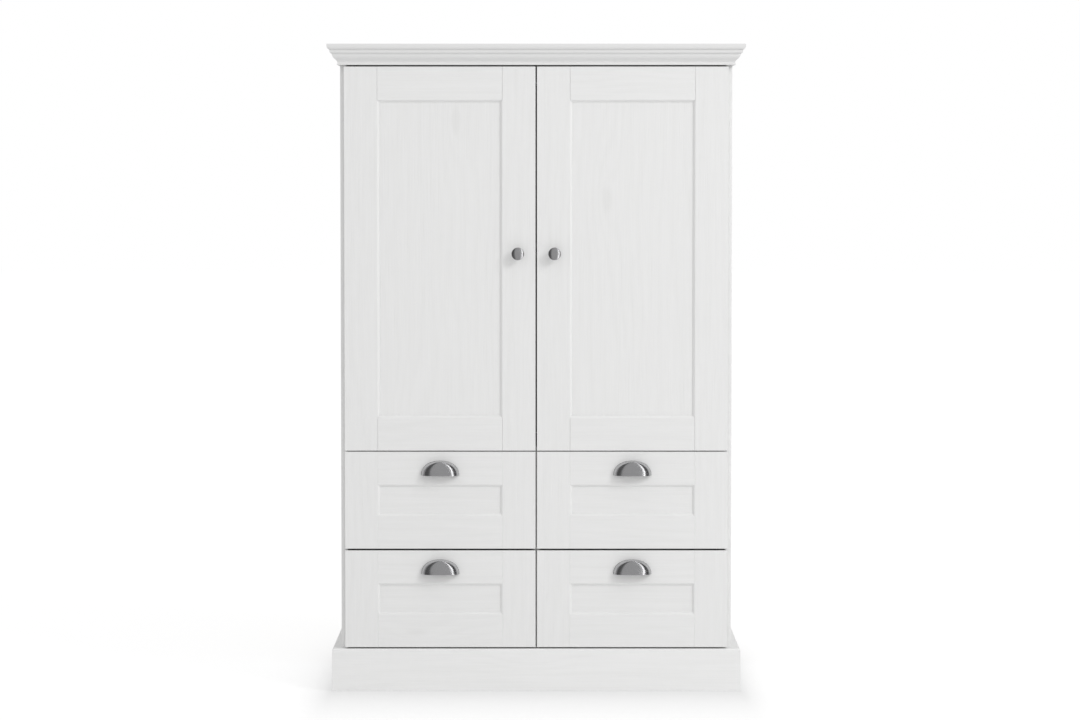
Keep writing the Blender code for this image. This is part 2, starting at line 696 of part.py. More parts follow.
def hood_solid(name, half_width, reach, height, place):
    """A ball drawn into a squarer, flat-fronted hood; used whole as a cutter."""
    bm = bmesh.new()
    bmesh.ops.create_uvsphere(bm, u_segments=24, v_segments=16, radius=1.0)
    for vertex in bm.verts:
        x, y, z = vertex.co
        ring = math.hypot(x, y)
        squareness = 0.72
        if ring > 1e-6:
            x = math.copysign(abs(x / ring) ** squareness, x) * ring
            y = math.copysign(abs(y / ring) ** squareness, y) * ring
        vertex.co = (x * half_width, y * reach, z * height)
    mesh = bpy.data.meshes.new(name)
    bm.to_mesh(mesh)
    bm.free()
    return new_object(name, mesh, None, place)


# ---- Build --------------------------------------------------------------
clear_scene()
PARTS = make_collection("wardrobe")
CUTTERS = make_collection("wardrobe_cutters")

build_carcase()
build_plinth()
build_cornice()
for side_name, side_sign in SIDES:
    build_door(side_name, side_sign)
    build_drawer(side_name, side_sign, "lower", LOWER_DRAWER_Z)
    build_drawer(side_name, side_sign, "upper", UPPER_DRAWER_Z)
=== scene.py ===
# %% [markdown]
# # A wardrobe with doors
# This lesson dresses a finished wardrobe model: two framed doors over four drawers, with a
# moulded cornice above and a plinth below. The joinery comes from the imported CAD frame, which
# is a fixed skeleton in metres. Everything below either gives one of its boards a finish, or
# adds a piece of ironmongery beside it. Nothing in the skeleton is moved.

# %% Load the joinery
import math

import bmesh
import bpy
from mathutils import Matrix, Vector


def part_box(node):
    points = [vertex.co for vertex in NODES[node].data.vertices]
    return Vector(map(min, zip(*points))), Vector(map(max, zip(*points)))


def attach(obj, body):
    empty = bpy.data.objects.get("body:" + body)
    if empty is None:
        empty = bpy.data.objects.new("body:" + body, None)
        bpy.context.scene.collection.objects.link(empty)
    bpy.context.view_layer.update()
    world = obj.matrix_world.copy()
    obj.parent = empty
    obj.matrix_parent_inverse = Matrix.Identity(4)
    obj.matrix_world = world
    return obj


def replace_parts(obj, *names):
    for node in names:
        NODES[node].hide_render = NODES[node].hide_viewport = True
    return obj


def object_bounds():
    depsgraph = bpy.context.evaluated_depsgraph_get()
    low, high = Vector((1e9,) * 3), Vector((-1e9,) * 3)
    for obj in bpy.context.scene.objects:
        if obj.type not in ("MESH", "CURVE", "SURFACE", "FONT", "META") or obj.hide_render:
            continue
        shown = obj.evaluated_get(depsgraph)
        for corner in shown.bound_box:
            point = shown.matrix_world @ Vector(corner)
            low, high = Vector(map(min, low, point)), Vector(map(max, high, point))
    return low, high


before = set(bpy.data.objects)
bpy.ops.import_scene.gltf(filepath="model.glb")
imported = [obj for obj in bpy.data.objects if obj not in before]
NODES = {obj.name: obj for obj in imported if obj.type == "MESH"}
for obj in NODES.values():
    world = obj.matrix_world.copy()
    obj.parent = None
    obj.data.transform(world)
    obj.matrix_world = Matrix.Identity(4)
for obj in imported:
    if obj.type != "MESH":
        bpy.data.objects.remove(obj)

CAD_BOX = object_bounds()
print("boards and fittings in the frame:", len(NODES))

# %% [markdown]
# ## Where things are
# A fitting goes where the joinery says, so the places come from the boards' own boxes. Left
# is -1 and right is +1, and each piece is worked out once and then used on both hands.

# %% Read the main places from the boards
SIDES = ("left", "right")
HANDS = tuple(zip(SIDES, (-1, 1)))
LEVELS = ("lower", "upper")
FACE_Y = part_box("door_left_stile_hinge")[0].y
BACK_OF_FRONTS_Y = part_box("door_left_stile_hinge")[1].y
CARCASE_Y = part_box("middle_panel")[0].y
BAY_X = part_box("side_right")[0].x
OUTER_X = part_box("side_right")[1].x
CORNICE_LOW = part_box("cornice_front")[0]
DOOR_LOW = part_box("door_left_stile_hinge")[0]
DOOR_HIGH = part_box("door_right_stile_hinge")[1]
FRAME_WIDTH = 0.092               # of a stile or a rail, seen from the front


def middle(node):
    """The middle of a board's box."""
    low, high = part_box(node)
    return (low + high) / 2


KNOB_X, KNOB_Z = middle("door_right_knob").x, middle("door_right_knob").z
print(f"door faces at y {FACE_Y:.4f}, carcase edges at y {CARCASE_Y:.4f}, bay half {BAY_X:.4f}")

# %% [markdown]
# ## The camera
# A catalogue view of tall furniture is taken from far away with a long lens, so that the
# sides stay nearly parallel. A near camera with a wide lens would show far more of the plinth's
# top and make the cornice loom. This one stands ten metres off at eye height and looks very
# slightly down at the middle of the fronts.

# %% Set the camera
FAR_OFF, EYE_HEIGHT, AIM_HEIGHT, TO_THE_RIGHT = 10.0, 1.46, 0.9247, 0.0105
camera_data = bpy.data.cameras.new("catalogue_camera")
camera_data.lens = 120.12
camera_data.sensor_width = 36.0
camera = bpy.data.objects.new("catalogue_camera", camera_data)
bpy.context.scene.collection.objects.link(camera)
camera.location = (TO_THE_RIGHT, FACE_Y - FAR_OFF, EYE_HEIGHT)
aim = Vector((TO_THE_RIGHT, FACE_Y, AIM_HEIGHT))
camera.rotation_euler = (aim - camera.location).to_track_quat("-Z", "Y").to_euler()
bpy.context.scene.camera = camera
print("camera to door faces:", round((aim - camera.location).length, 3), "m")

# %% [markdown]
# ## Wires
# Shader and geometry trees are easier to read as sums than as boxes and noodles. A Wire wraps
# one output socket, and adding or multiplying wires adds the Math node that does it. Any
# other node comes from `add_node`, which sets the node's own settings before its sockets.

# %% Wires and nodes
class Wire:
    """One output socket of a tree. Arithmetic on it adds Math nodes."""

    def __init__(self, tree, socket):
        self.tree, self.socket = tree, socket

    def out(self, key):
        """Another output of the same node."""
        return Wire(self.tree, self.socket.node.outputs[key])

    def maths(self, operation, *values):
        return add_node(self.tree, "ShaderNodeMath", {"operation": operation},
                        dict(enumerate(values)))

    def __add__(self, other):
        return self.maths("ADD", self, other)

    def __sub__(self, other):
        return self.maths("SUBTRACT", self, other)

    def __rsub__(self, other):
        return self.maths("SUBTRACT", other, self)

    def __mul__(self, other):
        return self.maths("MULTIPLY", self, other)

    def __rtruediv__(self, other):
        return self.maths("DIVIDE", other, self)

    def __pow__(self, other):
        return self.maths("POWER", self, other)

    def __abs__(self):
        return self.maths("ABSOLUTE", self)

    def __gt__(self, other):
        return self.maths("GREATER_THAN", self, other)

    def __lt__(self, other):
        return self.maths("LESS_THAN", self, other)

    __radd__, __rmul__ = __add__, __mul__


def add_node(tree, kind, settings=None, sockets=None, output=0):
    """Adds a node, sets its settings, then its sockets, and returns one output."""
    node = tree.nodes.new(kind)
    for name, value in (settings or {}).items():
        setattr(node, name, value)
    for key, value in (sockets or {}).items():
        if isinstance(value, Wire):
            tree.links.new(value.socket, node.inputs[key])
        else:
            node.inputs[key].default_value = value
    return Wire(tree, node.outputs[output])


def vector(tree, x, y, z):
    """Three numbers or wires as one vector."""
    return add_node(tree, "ShaderNodeCombineXYZ", {}, {"X": x, "Y": y, "Z": z})


def split(tree, vector_wire):
    """The x, y and z wires of a vector."""
    x = add_node(tree, "ShaderNodeSeparateXYZ", {}, {"Vector": vector_wire}, "X")
    return x, x.out("Y"), x.out("Z")


def own_place(tree):
    """The piece's own coordinates: metres in the frame, as every piece's origin is there."""
    return add_node(tree, "ShaderNodeTexCoord", output="Object")


def noise(tree, place, scale=1.0, detail=2.0, roughness=0.5):
    """Soft noise, about 0 to 1."""
    return add_node(tree, "ShaderNodeTexNoise", {}, {
        "Vector": place, "Scale": scale, "Detail": detail, "Roughness": roughness})


def blend_colours(tree, factor, first, second):
    """The first colour where factor is 0, and the second where it is 1."""
    return add_node(tree, "ShaderNodeMix", {"data_type": "RGBA"},
                    {0: factor, 6: first, 7: second}, output=2)


def between(tree, value, low, high, to_low=0.0, to_high=1.0):
    """A soft step: to_low where value is below low, to_high where it is above high."""
    return add_node(tree, "ShaderNodeMapRange", {"interpolation_type": "SMOOTHSTEP"}, {
        "Value": value, "From Min": low, "From Max": high,
        "To Min": to_low, "To Max": to_high})


def finish_tree(tree, shader):
    """Sends a surface to the tree's output."""
    end = tree.nodes.new("ShaderNodeOutputMaterial")
    tree.links.new(shader.socket, end.inputs["Surface"])


print("wires are ready")

# %% [markdown]
# ## The room
# White furniture is shown on a white sweep. The sweep is one large floor whose far edge melts
# into a white background. A broad lamp high on the right gives the bevels a light and a dark
# side, and the rest is even sky light. What the polished fittings mirror is described by
# bearing: a grey room with a dark flag at each side, and one tall bright panel on the right.

# %% Light the room
scene = bpy.context.scene
scene.view_settings.view_transform = "Standard"
world = bpy.data.worlds.new("white_sweep")
scene.world = world
world.use_nodes = True
sky = world.node_tree
sky.nodes.clear()
ROOM_GREY, LEFT_FLAG, RIGHT_FLAG, BRIGHT_PANEL = 0.47, 0.36, 0.37, 2.7


def mirrored_room(tree, x, y):
    """How bright the room looks in a polished fitting, by its bearing from the fronts."""
    bearing = x.maths("ARCTAN2", x, 0 - y)

    def past(low, high, before=0.0, after=1.0):
        return between(tree, bearing, math.radians(low), math.radians(high), before, after)

    left_flag = past(-32, -26, 1.0, 0.0) * past(-74, -66)
    right_flag = past(45, 49) * past(76, 86, 1.0, 0.0)
    panel = (bearing > math.radians(35)) * (bearing < math.radians(42))
    return (ROOM_GREY - left_flag * LEFT_FLAG - right_flag * RIGHT_FLAG
            + panel * BRIGHT_PANEL)


SKY_LIGHT = 0.775
ray = add_node(sky, "ShaderNodeLightPath")
seen, glossy = ray.out("Is Camera Ray"), ray.out("Is Glossy Ray")
east, north, _ = split(sky, add_node(sky, "ShaderNodeTexCoord", output="Generated"))
mirrored = mirrored_room(sky, east, north)
strength = seen + (1 - seen) * (glossy * mirrored + (1 - glossy) * SKY_LIGHT)
background = add_node(sky, "ShaderNodeBackground", {}, {
    "Color": (1, 1, 1, 1), "Strength": strength})
sky.links.new(background.socket, sky.nodes.new("ShaderNodeOutputWorld").inputs["Surface"])

LAMP_DISTANCE = 7.5
lamp_data = bpy.data.lights.new("key_softbox", "AREA")
lamp_data.shape, lamp_data.size, lamp_data.energy = "DISK", 2.8, 166.0
lamp = bpy.data.objects.new("key_softbox", lamp_data)
scene.collection.objects.link(lamp)
lamp.visible_glossy = False       # the bright panel stands in for it in the fittings
target = Vector((0, FACE_Y, 0.95))
lamp.location = target + Vector((1.15, -1.0, 0.98)).normalized() * LAMP_DISTANCE
lamp.rotation_euler = (target - lamp.location).to_track_quat("-Z", "Y").to_euler()
print("softbox at", tuple(round(c, 2) for c in lamp.location))

# %% [markdown]
# ## The floor
# A white sweep glows a little under its lights. A plain white plane would show a horizon and a
# grey foreground. This floor is therefore part glow and part matt white to the camera, with a
# painted contact shadow: its glow is dimmed close round the plinth and fades out away from it.
# To the boards it is plain matt white, and to polished metal it glows as the same room as the
# sky.

# %% Lay the floor
PLINTH_OUT, REACH = 0.025, 40.0
SIDE_FADE, FRONT_FADE, BACK_FADE = 22.0, 2.6, 4.0    # how fast the shade dies away, per metre
GLOW, CONTACT_SHADE, SPECKLE = 0.77, 0.266, 0.01
floor_material = bpy.data.materials.new("white_floor")
floor_material.use_nodes = True
tree = floor_material.node_tree
tree.nodes.clear()
east, north, _ = split(tree, own_place(tree))
past_side = east.maths("MAXIMUM", abs(east) - (OUTER_X + PLINTH_OUT), 0) * SIDE_FADE
past_front = east.maths("MAXIMUM", 0 - north + FACE_Y, 0) * FRONT_FADE
past_back = east.maths("MAXIMUM", north - CAD_BOX[1].y, 0) * BACK_FADE
away = (past_side * past_side + past_front * past_front + past_back * past_back) ** 0.5
# Painted contact shadow: a fade from the plinth's footprint that dims the floor's glow, not a
# shadow cast by any lamp.
painted_contact_shadow = east.maths("EXPONENT", 0 - away)
speckle = noise(tree, own_place(tree), 60, 3)


def matt(value):
    """A plain grey that only scatters light."""
    return add_node(tree, "ShaderNodeBsdfDiffuse", {}, {"Color": (value, value, value, 1)})


def glowing(strength):
    """White light of its own."""
    return add_node(tree, "ShaderNodeEmission", {}, {
        "Color": (1, 1, 1, 1), "Strength": strength})


# To the camera the floor glows, less the painted contact shadow round the plinth.
to_camera = add_node(tree, "ShaderNodeAddShader", {}, {
    0: matt(0.30), 1: glowing(GLOW - painted_contact_shadow * CONTACT_SHADE + speckle * SPECKLE)})
ray = add_node(tree, "ShaderNodeLightPath")
to_others = add_node(tree, "ShaderNodeMixShader", {}, {
    0: ray.out("Is Glossy Ray"), 1: matt(0.88),
    2: glowing(mirrored_room(tree, east, north - FACE_Y))})
finish_tree(tree, add_node(tree, "ShaderNodeMixShader", {}, {
    0: ray.out("Is Camera Ray"), 1: to_others, 2: to_camera}))
floor_mesh = bpy.data.meshes.new("white_floor")
floor_mesh.from_pydata([(-REACH, -REACH, 0), (REACH, -REACH, 0), (REACH, REACH, 0),
                        (-REACH, REACH, 0)], [], [(0, 1, 2, 3)])
floor_mesh.materials.append(floor_material)
floor = bpy.data.objects.new("white_floor", floor_mesh)
scene.collection.objects.link(floor)
floor.location.z = -0.0005
print("floor laid, reaching", REACH, "m each way")

# %% [markdown]
# ## The white foil
# The fronts are board wrapped in a white foil, embossed with a quiet softwood grain. It could
# be one flat white, but then the fronts would look like paper. Here the grain is built from
# growth rings that bend round a few knots, long streaks, and fine fibres. Each changes the
# white by a percent or so and presses a shallow relief, because the real foil is felt more
# than seen. The grain runs along each board, so there is one foil for each direction.

# %% Grain that follows a board
def new_finish(name):
    """An empty material and its tree."""
    material = bpy.data.materials.new(name)
    material.use_nodes = True
    material.node_tree.nodes.clear()
    return material, material.node_tree


def wood_figure(tree, run, cross, deep, seed):
    """Rings, streaks, fibres and knots, each about 0 to 1."""
    wander = noise(tree, vector(tree, cross * 4 + seed, deep * 4, run * 0.7), 1.0, 3.0)
    cells = add_node(tree, "ShaderNodeTexVoronoi", {}, {
        "Vector": vector(tree, cross * 5.5 + seed * 3, deep * 3, run * 1.9 + seed),
        "Scale": 1.0, "Randomness": 1.0})
    swirl = 1 / (1 + (cells * 5.0) ** 2)
    phase = cross * 210 + wander * 46 + swirl * 16
    rings = (phase.maths("SINE", phase) * 0.5 + 0.5) ** 2.2
    streaks = noise(tree, vector(tree, cross * 190 + seed, deep * 190, run * 6), 1.0, 3.0)
    fibres = noise(tree, vector(tree, cross * 760, deep * 760, run * 11 + seed), 1.0, 2.0)
    knots = between(tree, cells, 0.03, 0.10, 1.0, 0.0)
    return rings, streaks, fibres, knots


def coat(material, tree, colour, roughness, height=None, relief=0.0001, **plain):
    """Principled shader with its colour and roughness wired, and an optional relief."""
    sockets = {"Base Color": colour, "Roughness": roughness}
    sockets.update({name.replace("_", " "): value for name, value in plain.items()})
    if height is not None:
        sockets["Normal"] = add_node(tree, "ShaderNodeBump", {}, {
            "Height": height, "Strength": 1.0, "Distance": relief})
    finish_tree(tree, add_node(tree, "ShaderNodeBsdfPrincipled", {}, sockets))
    return material


RUNS = {"X": (0, 2, 1), "Y": (1, 2, 0), "Z": (2, 0, 1)}    # which of x, y, z is run, cross, deep


def white_foil(name, along, seed, white=0.86, quiet=1.0, swap=None, bare=None):
    """Embossed foil whose grain runs along an axis. swap(x, y, z) gives a mask where the
    grain turns from upright to level, and bare(x, y, z) one where raw chipboard shows."""
    material, tree = new_finish(name)
    place = split(tree, own_place(tree))
    run, cross, deep = (place[i] for i in RUNS[along])
    if swap:
        turned = swap(*place)
        run, cross = run + turned * (cross - run), cross + turned * (run - cross)
    rings, streaks, fibres, knots = wood_figure(tree, run, cross, deep, seed)
    pores = between(tree, fibres, 0.30, 0.46, 1.0, 0.0)
    shade = (rings * 0.13 + streaks * 0.62 + fibres * 0.30 + pores * 0.22 + knots * 0.5) * quiet
    dark, light = white * 0.925, white * 1.01
    colour = blend_colours(tree, shade, (light, light, light * 0.998, 1),
                           (dark, dark, dark * 0.992, 1))
    if bare:
        chips = noise(tree, vector(tree, *place), 900.0, 4.0, 0.7)
        colour = blend_colours(tree, bare(*place), colour, blend_colours(
            tree, chips, (0.50, 0.36, 0.22, 1), (0.24, 0.15, 0.08, 1)))
    roughness = 0.40 + fibres * 0.10 + rings * 0.05
    height = fibres * 0.45 + streaks * 0.8 - pores * 0.5 - rings * 0.12 - knots * 0.3
    return coat(material, tree, colour, roughness, height, 0.00016 * quiet)


print("foil recipe ready")

# %% Foils for the fronts, the carcase and the mouldings
INNER_GAP = 0.002                 # from the middle of the wardrobe to each front
INNER_EDGE = DOOR_HIGH.x - FRAME_WIDTH
FOIL_SKIN = 0.0003                # how far in from a face the raw chipboard starts
foils = {}
for side_name, hand in HANDS:
    seed = 2.3 + hand
    foils[side_name, "upright"] = white_foil(f"foil_upright_{side_name}", "Z", seed)
    foils[side_name, "level"] = white_foil(f"foil_level_{side_name}", "X", seed + 5)
    foils[side_name, "panel"] = white_foil(f"foil_panel_{side_name}", "Z", seed + 11)
drawer_foils = {
    level: white_foil(f"foil_drawer_{level}", "Z", 17.0 + i * 4, swap=lambda x, y, z: (
        (abs(x) > INNER_GAP + FRAME_WIDTH) * (abs(x) < INNER_EDGE)))
    for i, level in enumerate(LEVELS)}
carcase_foils = {axis: white_foil(f"foil_carcase_{axis}", axis, 31.0 + i * 3)
                 for i, axis in enumerate("XYZ")}
# The cornice foil is greyer (0.79) than the other foils: a darker copy of the same foil that
# paints in part of the shade under the moulding's steps.
shaded_cornice_foils = {axis: white_foil(f"foil_cornice_{axis}", axis, 43.0 + i * 3, 0.79, 0.25)
                 for i, axis in enumerate("XY")}
plinth_foils = {axis: white_foil(f"foil_plinth_{axis}", axis, 61.0 + i * 3, 0.90)
                for i, axis in enumerate("XY")}
# The sides' foil is whiter (0.875) than the other foils: a lighter copy of the same foil,
# painting light onto the sides' front edges to offset the shade the neighbouring boards cast
# there.
lightened_side_foil = white_foil("foil_drilled_side", "Z", 37.0, 0.875, bare=lambda x, y, z: (
    (abs(x) > BAY_X + FOIL_SKIN) * (abs(x) < OUTER_X - FOIL_SKIN)
    * (y > CARCASE_Y + 0.001) * (y < middle("side_left").y + 0.24)))
print("foils:", len(foils) + len(drawer_foils) + len(carcase_foils) + len(shaded_cornice_foils)
      + len(plinth_foils) + 1)

# %% [markdown]
# ## Which way the grain runs
# On a framed front the grain runs up the stiles and along the rails. A drawer front is one
# pressed board that imitates the same frame, so its foil turns at two upright joint lines. The
# boards already have their right shape, so only their finish is changed.

# %% Put the foils on
def dress(node, material):
    """Gives a board its finish."""
    for slot in NODES[node].material_slots:
        slot.material = material


for side_name in SIDES:
    for part in ("stile_hinge", "stile_centre"):
        dress(f"door_{side_name}_{part}", foils[side_name, "upright"])
    for part in ("rail_top", "rail_bottom"):
        dress(f"door_{side_name}_{part}", foils[side_name, "level"])
    dress(f"door_{side_name}_panel", foils[side_name, "panel"])
    for level in LEVELS:
        dress(f"drawer_{level}_{side_name}_front", drawer_foils[level])
    dress(f"plinth_{side_name}", plinth_foils["Y"])
    dress(f"cornice_{side_name}", carcase_foils["Y"])
    dress(f"side_{side_name}", carcase_foils["Z"])
dress("plinth_front", plinth_foils["X"])
dress("cornice_front", carcase_foils["X"])
print("fronts, sides, plinth and cornice dressed")

# %% [markdown]
# ## The inside finishes
# Behind the doors the boards are faced with plain melamine: white, matt and smooth, with the
# faint mottle of pressed paper. The back is thin hardboard, white inside and brown fibre
# outside, and so are the drawer bottoms underneath. Which side a point is on is read from its
# place or its own normal, so one finish serves both faces of a sheet.

# %% Melamine and hardboard
def inner_melamine(name, white=0.84, joints=()):
    """White melamine, with a fine dark joint line across Y at each of joints."""
    material, tree = new_finish(name)
    place = own_place(tree)
    mottle = noise(tree, place, 38.0, 4.0, 0.6)
    paper = noise(tree, place, 900.0, 2.0)
    handled = noise(tree, place, 3.0, 2.0)
    shade = mottle * 0.6 + paper * 0.4
    colour = blend_colours(tree, shade, (white * 1.02, white * 1.02, white * 1.01, 1),
                           (white * 0.955, white * 0.955, white * 0.94, 1))
    y = split(tree, place)[1]
    for joint in joints:
        colour = blend_colours(tree, (abs(y - joint) < 0.0003) * 0.6, colour,
                               (0.30, 0.28, 0.25, 1))
    return coat(material, tree, colour, 0.40 + paper * 0.10 + handled * 0.10,
                paper * 0.7 + mottle * 0.3, 0.00005)


def hardboard(name, raw_side):
    """raw_side(tree) gives 1 where the brown fibre shows and 0 on the white face."""
    material, tree = new_finish(name)
    place = own_place(tree)
    fibres = noise(tree, place, 420.0, 5.0, 0.7)
    clouds = noise(tree, place, 9.0, 3.0)
    raw = raw_side(tree)
    white = blend_colours(tree, clouds * 0.6 + fibres * 0.4, (0.83, 0.83, 0.82, 1),
                          (0.77, 0.77, 0.75, 1))
    brown = blend_colours(tree, fibres * 0.75 + clouds * 0.25, (0.33, 0.21, 0.12, 1),
                          (0.17, 0.10, 0.055, 1))
    colour = blend_colours(tree, raw, white, brown)
    return coat(material, tree, colour, 0.48 + raw * 0.30 + fibres * 0.10,
                fibres, 0.00018)


melamine = inner_melamine("inner_melamine")
BOX_FRONT, BOX_BACK = (corner.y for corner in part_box("drawer_lower_left_box"))
BOX_BOARD = 0.012
drawer_melamine = inner_melamine("drawer_melamine", 0.82,
                                 (BOX_FRONT + BOX_BOARD, BOX_BACK - BOX_BOARD))
sheet_hardboard = hardboard("drawer_bottom_hardboard", lambda tree: between(
    tree, split(tree, add_node(tree, "ShaderNodeTexCoord", output="Normal"))[2],
    -0.6, -0.4, 1, 0))
for node in ("bottom_panel", "middle_panel", "top_panel", "centre_partition", "shelf"):
    dress(node, melamine)
dress("cornice_top_board", melamine)
for side_name in SIDES:
    for level in LEVELS:
        dress(f"drawer_{level}_{side_name}_box", drawer_melamine)
        dress(f"drawer_{level}_{side_name}_bottom", sheet_hardboard)
print("inside boards faced")

# %% [markdown]
# ## Metals and plastics
# The knobs and cup pulls are satin nickel. A knob is turned, so its polishing marks run in
# rings about its own axis, while a pull is brushed along its length. Hinges are pressed and
# nickel plated, runners are powder coated, and the hanging rail is chromed tube with faint
# lengthwise draw marks. Small parts are white nylon and bright zinc.

# %% Metal finishes
def metal(name, colour, dull, marks, relief=0.00002, smudge=0.06):
    """A metal whose fine marks come from marks(tree, x, y, z)."""
    material, tree = new_finish(name)
    place = own_place(tree)
    lines = marks(tree, *split(tree, place))
    clouds = noise(tree, place, 70.0, 3.0)
    light = tuple(channel * 1.06 for channel in colour) + (1,)
    dark = tuple(channel * 0.90 for channel in colour) + (1,)
    shade = blend_colours(tree, lines * 0.6 + clouds * 0.4, light, dark)
    return coat(material, tree, shade, dull + lines * 0.06 + clouds * smudge, lines,
                relief, Metallic=1.0)


def turned_marks(tree, x, y, z):
    """Rings about a knob's own axis."""
    far = ((abs(x) - KNOB_X) ** 2 + (z - KNOB_Z) ** 2) ** 0.5
    return noise(tree, vector(tree, far * 5200, y * 300, 0.0), 1.0, 2.0)


def brushed_marks(tree, x, y, z):
    """Fine lines along X."""
    return noise(tree, vector(tree, x * 90, y * 3600, z * 3600), 1.0, 2.0)


def plated_marks(tree, x, y, z):
    """An even mottle, with no direction."""
    return noise(tree, vector(tree, x * 600, y * 600, z * 600), 1.0, 4.0, 0.7)


nickel_turned = metal("satin_nickel_turned", (0.56, 0.56, 0.57), 0.17, turned_marks)
nickel_brushed = metal("satin_nickel_brushed", (0.56, 0.56, 0.57), 0.15, brushed_marks)
hinge_plate = metal("nickel_plated_steel", (0.72, 0.72, 0.715), 0.26, plated_marks)
zinc = metal("bright_zinc", (0.68, 0.69, 0.70), 0.30, plated_marks)
chrome = metal("chromed_tube", (0.78, 0.78, 0.79), 0.08, brushed_marks, 0.000008, 0.04)
print("metals ready")

# %% [markdown]
# ## Painted steel and plastic
# The runners are steel with a baked powder coat, which dries with a faint orange peel. Rollers
# and caps are moulded nylon and the bumpers soft silicone, both a little pebbled by the mould.
# All three are an even colour over a fine skin, so one recipe serves them.

# %% Painted steel and nylon
def moulded(name, colour, dull, pebble, relief):
    """Powder coat or moulded plastic: an even colour over a fine pebbled skin."""
    material, tree = new_finish(name)
    place = own_place(tree)
    skin = noise(tree, place, pebble, 3.0, 0.6)
    clouds = noise(tree, place, 14.0, 2.0)
    shade = blend_colours(tree, skin * 0.5 + clouds * 0.5,
                          tuple(c * 1.03 for c in colour) + (1,),
                          tuple(c * 0.93 for c in colour) + (1,))
    return coat(material, tree, shade, dull + skin * 0.12, skin, relief)


powder_coat = moulded("white_powder_coat", (0.78, 0.78, 0.77), 0.34, 1400.0, 0.00004)
nylon = moulded("white_nylon", (0.80, 0.80, 0.78), 0.42, 700.0, 0.00003)
silicone = moulded("clear_silicone", (0.70, 0.71, 0.71), 0.22, 300.0, 0.00002)
for node in NODES:
    if node.startswith("runner_"):
        dress(node, powder_coat)
    if node.startswith("hinge_arm_") or "hinge_cup" in node:
        dress(node, hinge_plate)
print("paint and plastics ready")

# %% [markdown]
# ## Tools for making a piece
# Most fittings are turned, so they come from a profile spun about an axis, or pressed, so
# they come from softly edged blocks. Both add to one bmesh. `true_up` merges its doubles,
# points its faces outwards and marks its sharp edges so that curves shade smoothly, and
# `make_piece` turns it into an object that rides on its body.

# %% Turning and pressing
def turn(bm, profile, place, axis, steps=48, hollow=False):
    """Spins (radius, height) pairs about an axis through place. A hollow profile closes on
    itself, as a tube's does."""
    axis = Vector(axis).normalized()
    side = axis.orthogonal().normalized()
    up = axis.cross(side)
    rings = []
    for radius, height in profile:
        centre = Vector(place) + axis * height
        angles = [math.tau * k / steps for k in range(steps)] if radius > 1e-7 else [0]
        rings.append([bm.verts.new(centre + (side * math.cos(a) + up * math.sin(a)) * radius)
                      for a in angles])
    pairs = list(zip(rings, rings[1:])) + ([(rings[-1], rings[0])] if hollow else [])
    for low, high in pairs:
        for k in range(steps):
            corners = [low[k % len(low)], low[(k + 1) % len(low)],
                       high[(k + 1) % len(high)], high[k % len(high)]]
            corners = list(dict.fromkeys(corners))
            if len(corners) > 2:
                bm.faces.new(corners)


def press(bm, low, high, soft=0.0, segments=2):
    """A block between two corners, with its edges softened."""
    low, high = (Vector(map(pick, zip(low, high))) for pick in (min, max))
    verts = bmesh.ops.create_cube(bm, size=1.0)["verts"]
    for vert in verts:
        vert.co = (low + high) / 2 + Vector(c * s for c, s in zip(vert.co, high - low))
    if soft:
        edges = list({edge for vert in verts for edge in vert.link_edges})
        bmesh.ops.bevel(bm, geom=edges, offset=soft, segments=segments, profile=0.5,
                        affect="EDGES")


def true_up(bm, sharp):
    """Merges doubles, turns faces outwards and keeps edges crisp past sharp degrees."""
    bmesh.ops.remove_doubles(bm, verts=bm.verts, dist=1e-7)
    bmesh.ops.recalc_face_normals(bm, faces=bm.faces)
    for face in bm.faces:
        face.smooth = True
    for edge in bm.edges:
        edge.smooth = edge.calc_face_angle(math.pi) < math.radians(sharp)


def make_piece(name, bm, finish, body, sharp=35):
    """Makes an object of a bmesh, with its finish on, and seats it on its body."""
    true_up(bm, sharp)
    mesh = bpy.data.meshes.new(name)
    bm.to_mesh(mesh)
    bm.free()
    mesh.materials.append(finish)
    return seat_piece(name, mesh, body)


def seat_piece(name, mesh, body):
    """Lets a mesh ride on its body."""
    piece = bpy.data.objects.new(name, mesh)
    bpy.context.scene.collection.objects.link(piece)
    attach(piece, body)
    print(f"{name}: {len(mesh.polygons)} faces on {body}")
    return piece


print("tools ready")

# %% [markdown]
# ## The knobs
# A mushroom knob is turned from bar: a small rose against the door, a waisted neck, a crisp
# rim and a low dome. A squashed ball would have neither the rim nor the flat face, and a
# polished face shows it at once. The profile is drawn as half a section and spun, and the
# dome is a true cap of a large ball, so that it mirrors the room as one calm patch.

# %% Turn the knobs
knob_low, knob_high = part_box("door_right_knob")
KNOB_RADIUS, KNOB_REACH = (knob_high.x - knob_low.x) / 2, knob_high.y - knob_low.y
DOME_STEPS, ROSE_OFF = 14, 0.0003
rose = [(0, 0), (0.0094, 0), (0.0098, 0.0004), (0.0098, 0.0014), (0.0092, 0.0021)]
neck = [(0.0076, 0.0028), (0.0062, 0.0044), (0.0055, 0.0066), (0.0052, 0.0090),
        (0.0056, 0.0116), (0.0068, 0.0140), (0.0092, 0.0160), (0.0125, 0.0173),
        (0.0158, 0.0183), (0.0170, 0.0189)]
rim = [(KNOB_RADIUS - 0.0003, 0.0198), (KNOB_RADIUS, 0.0208), (KNOB_RADIUS, 0.0227),
       (KNOB_RADIUS - 0.0002, 0.0233), (KNOB_RADIUS - 0.0005, 0.0237)]
dome_radius, dome_low = KNOB_RADIUS - 0.0009, 0.0240
dome_rise = KNOB_REACH - dome_low
ball = (dome_radius ** 2 + dome_rise ** 2) / (2 * dome_rise)
dome = []
for i in range(DOME_STEPS + 1):
    out = dome_radius * math.cos(math.pi / 2 * i / DOME_STEPS)
    dome.append((out, KNOB_REACH - ball + math.sqrt(ball ** 2 - out ** 2)))
dome[-1] = (0, KNOB_REACH)
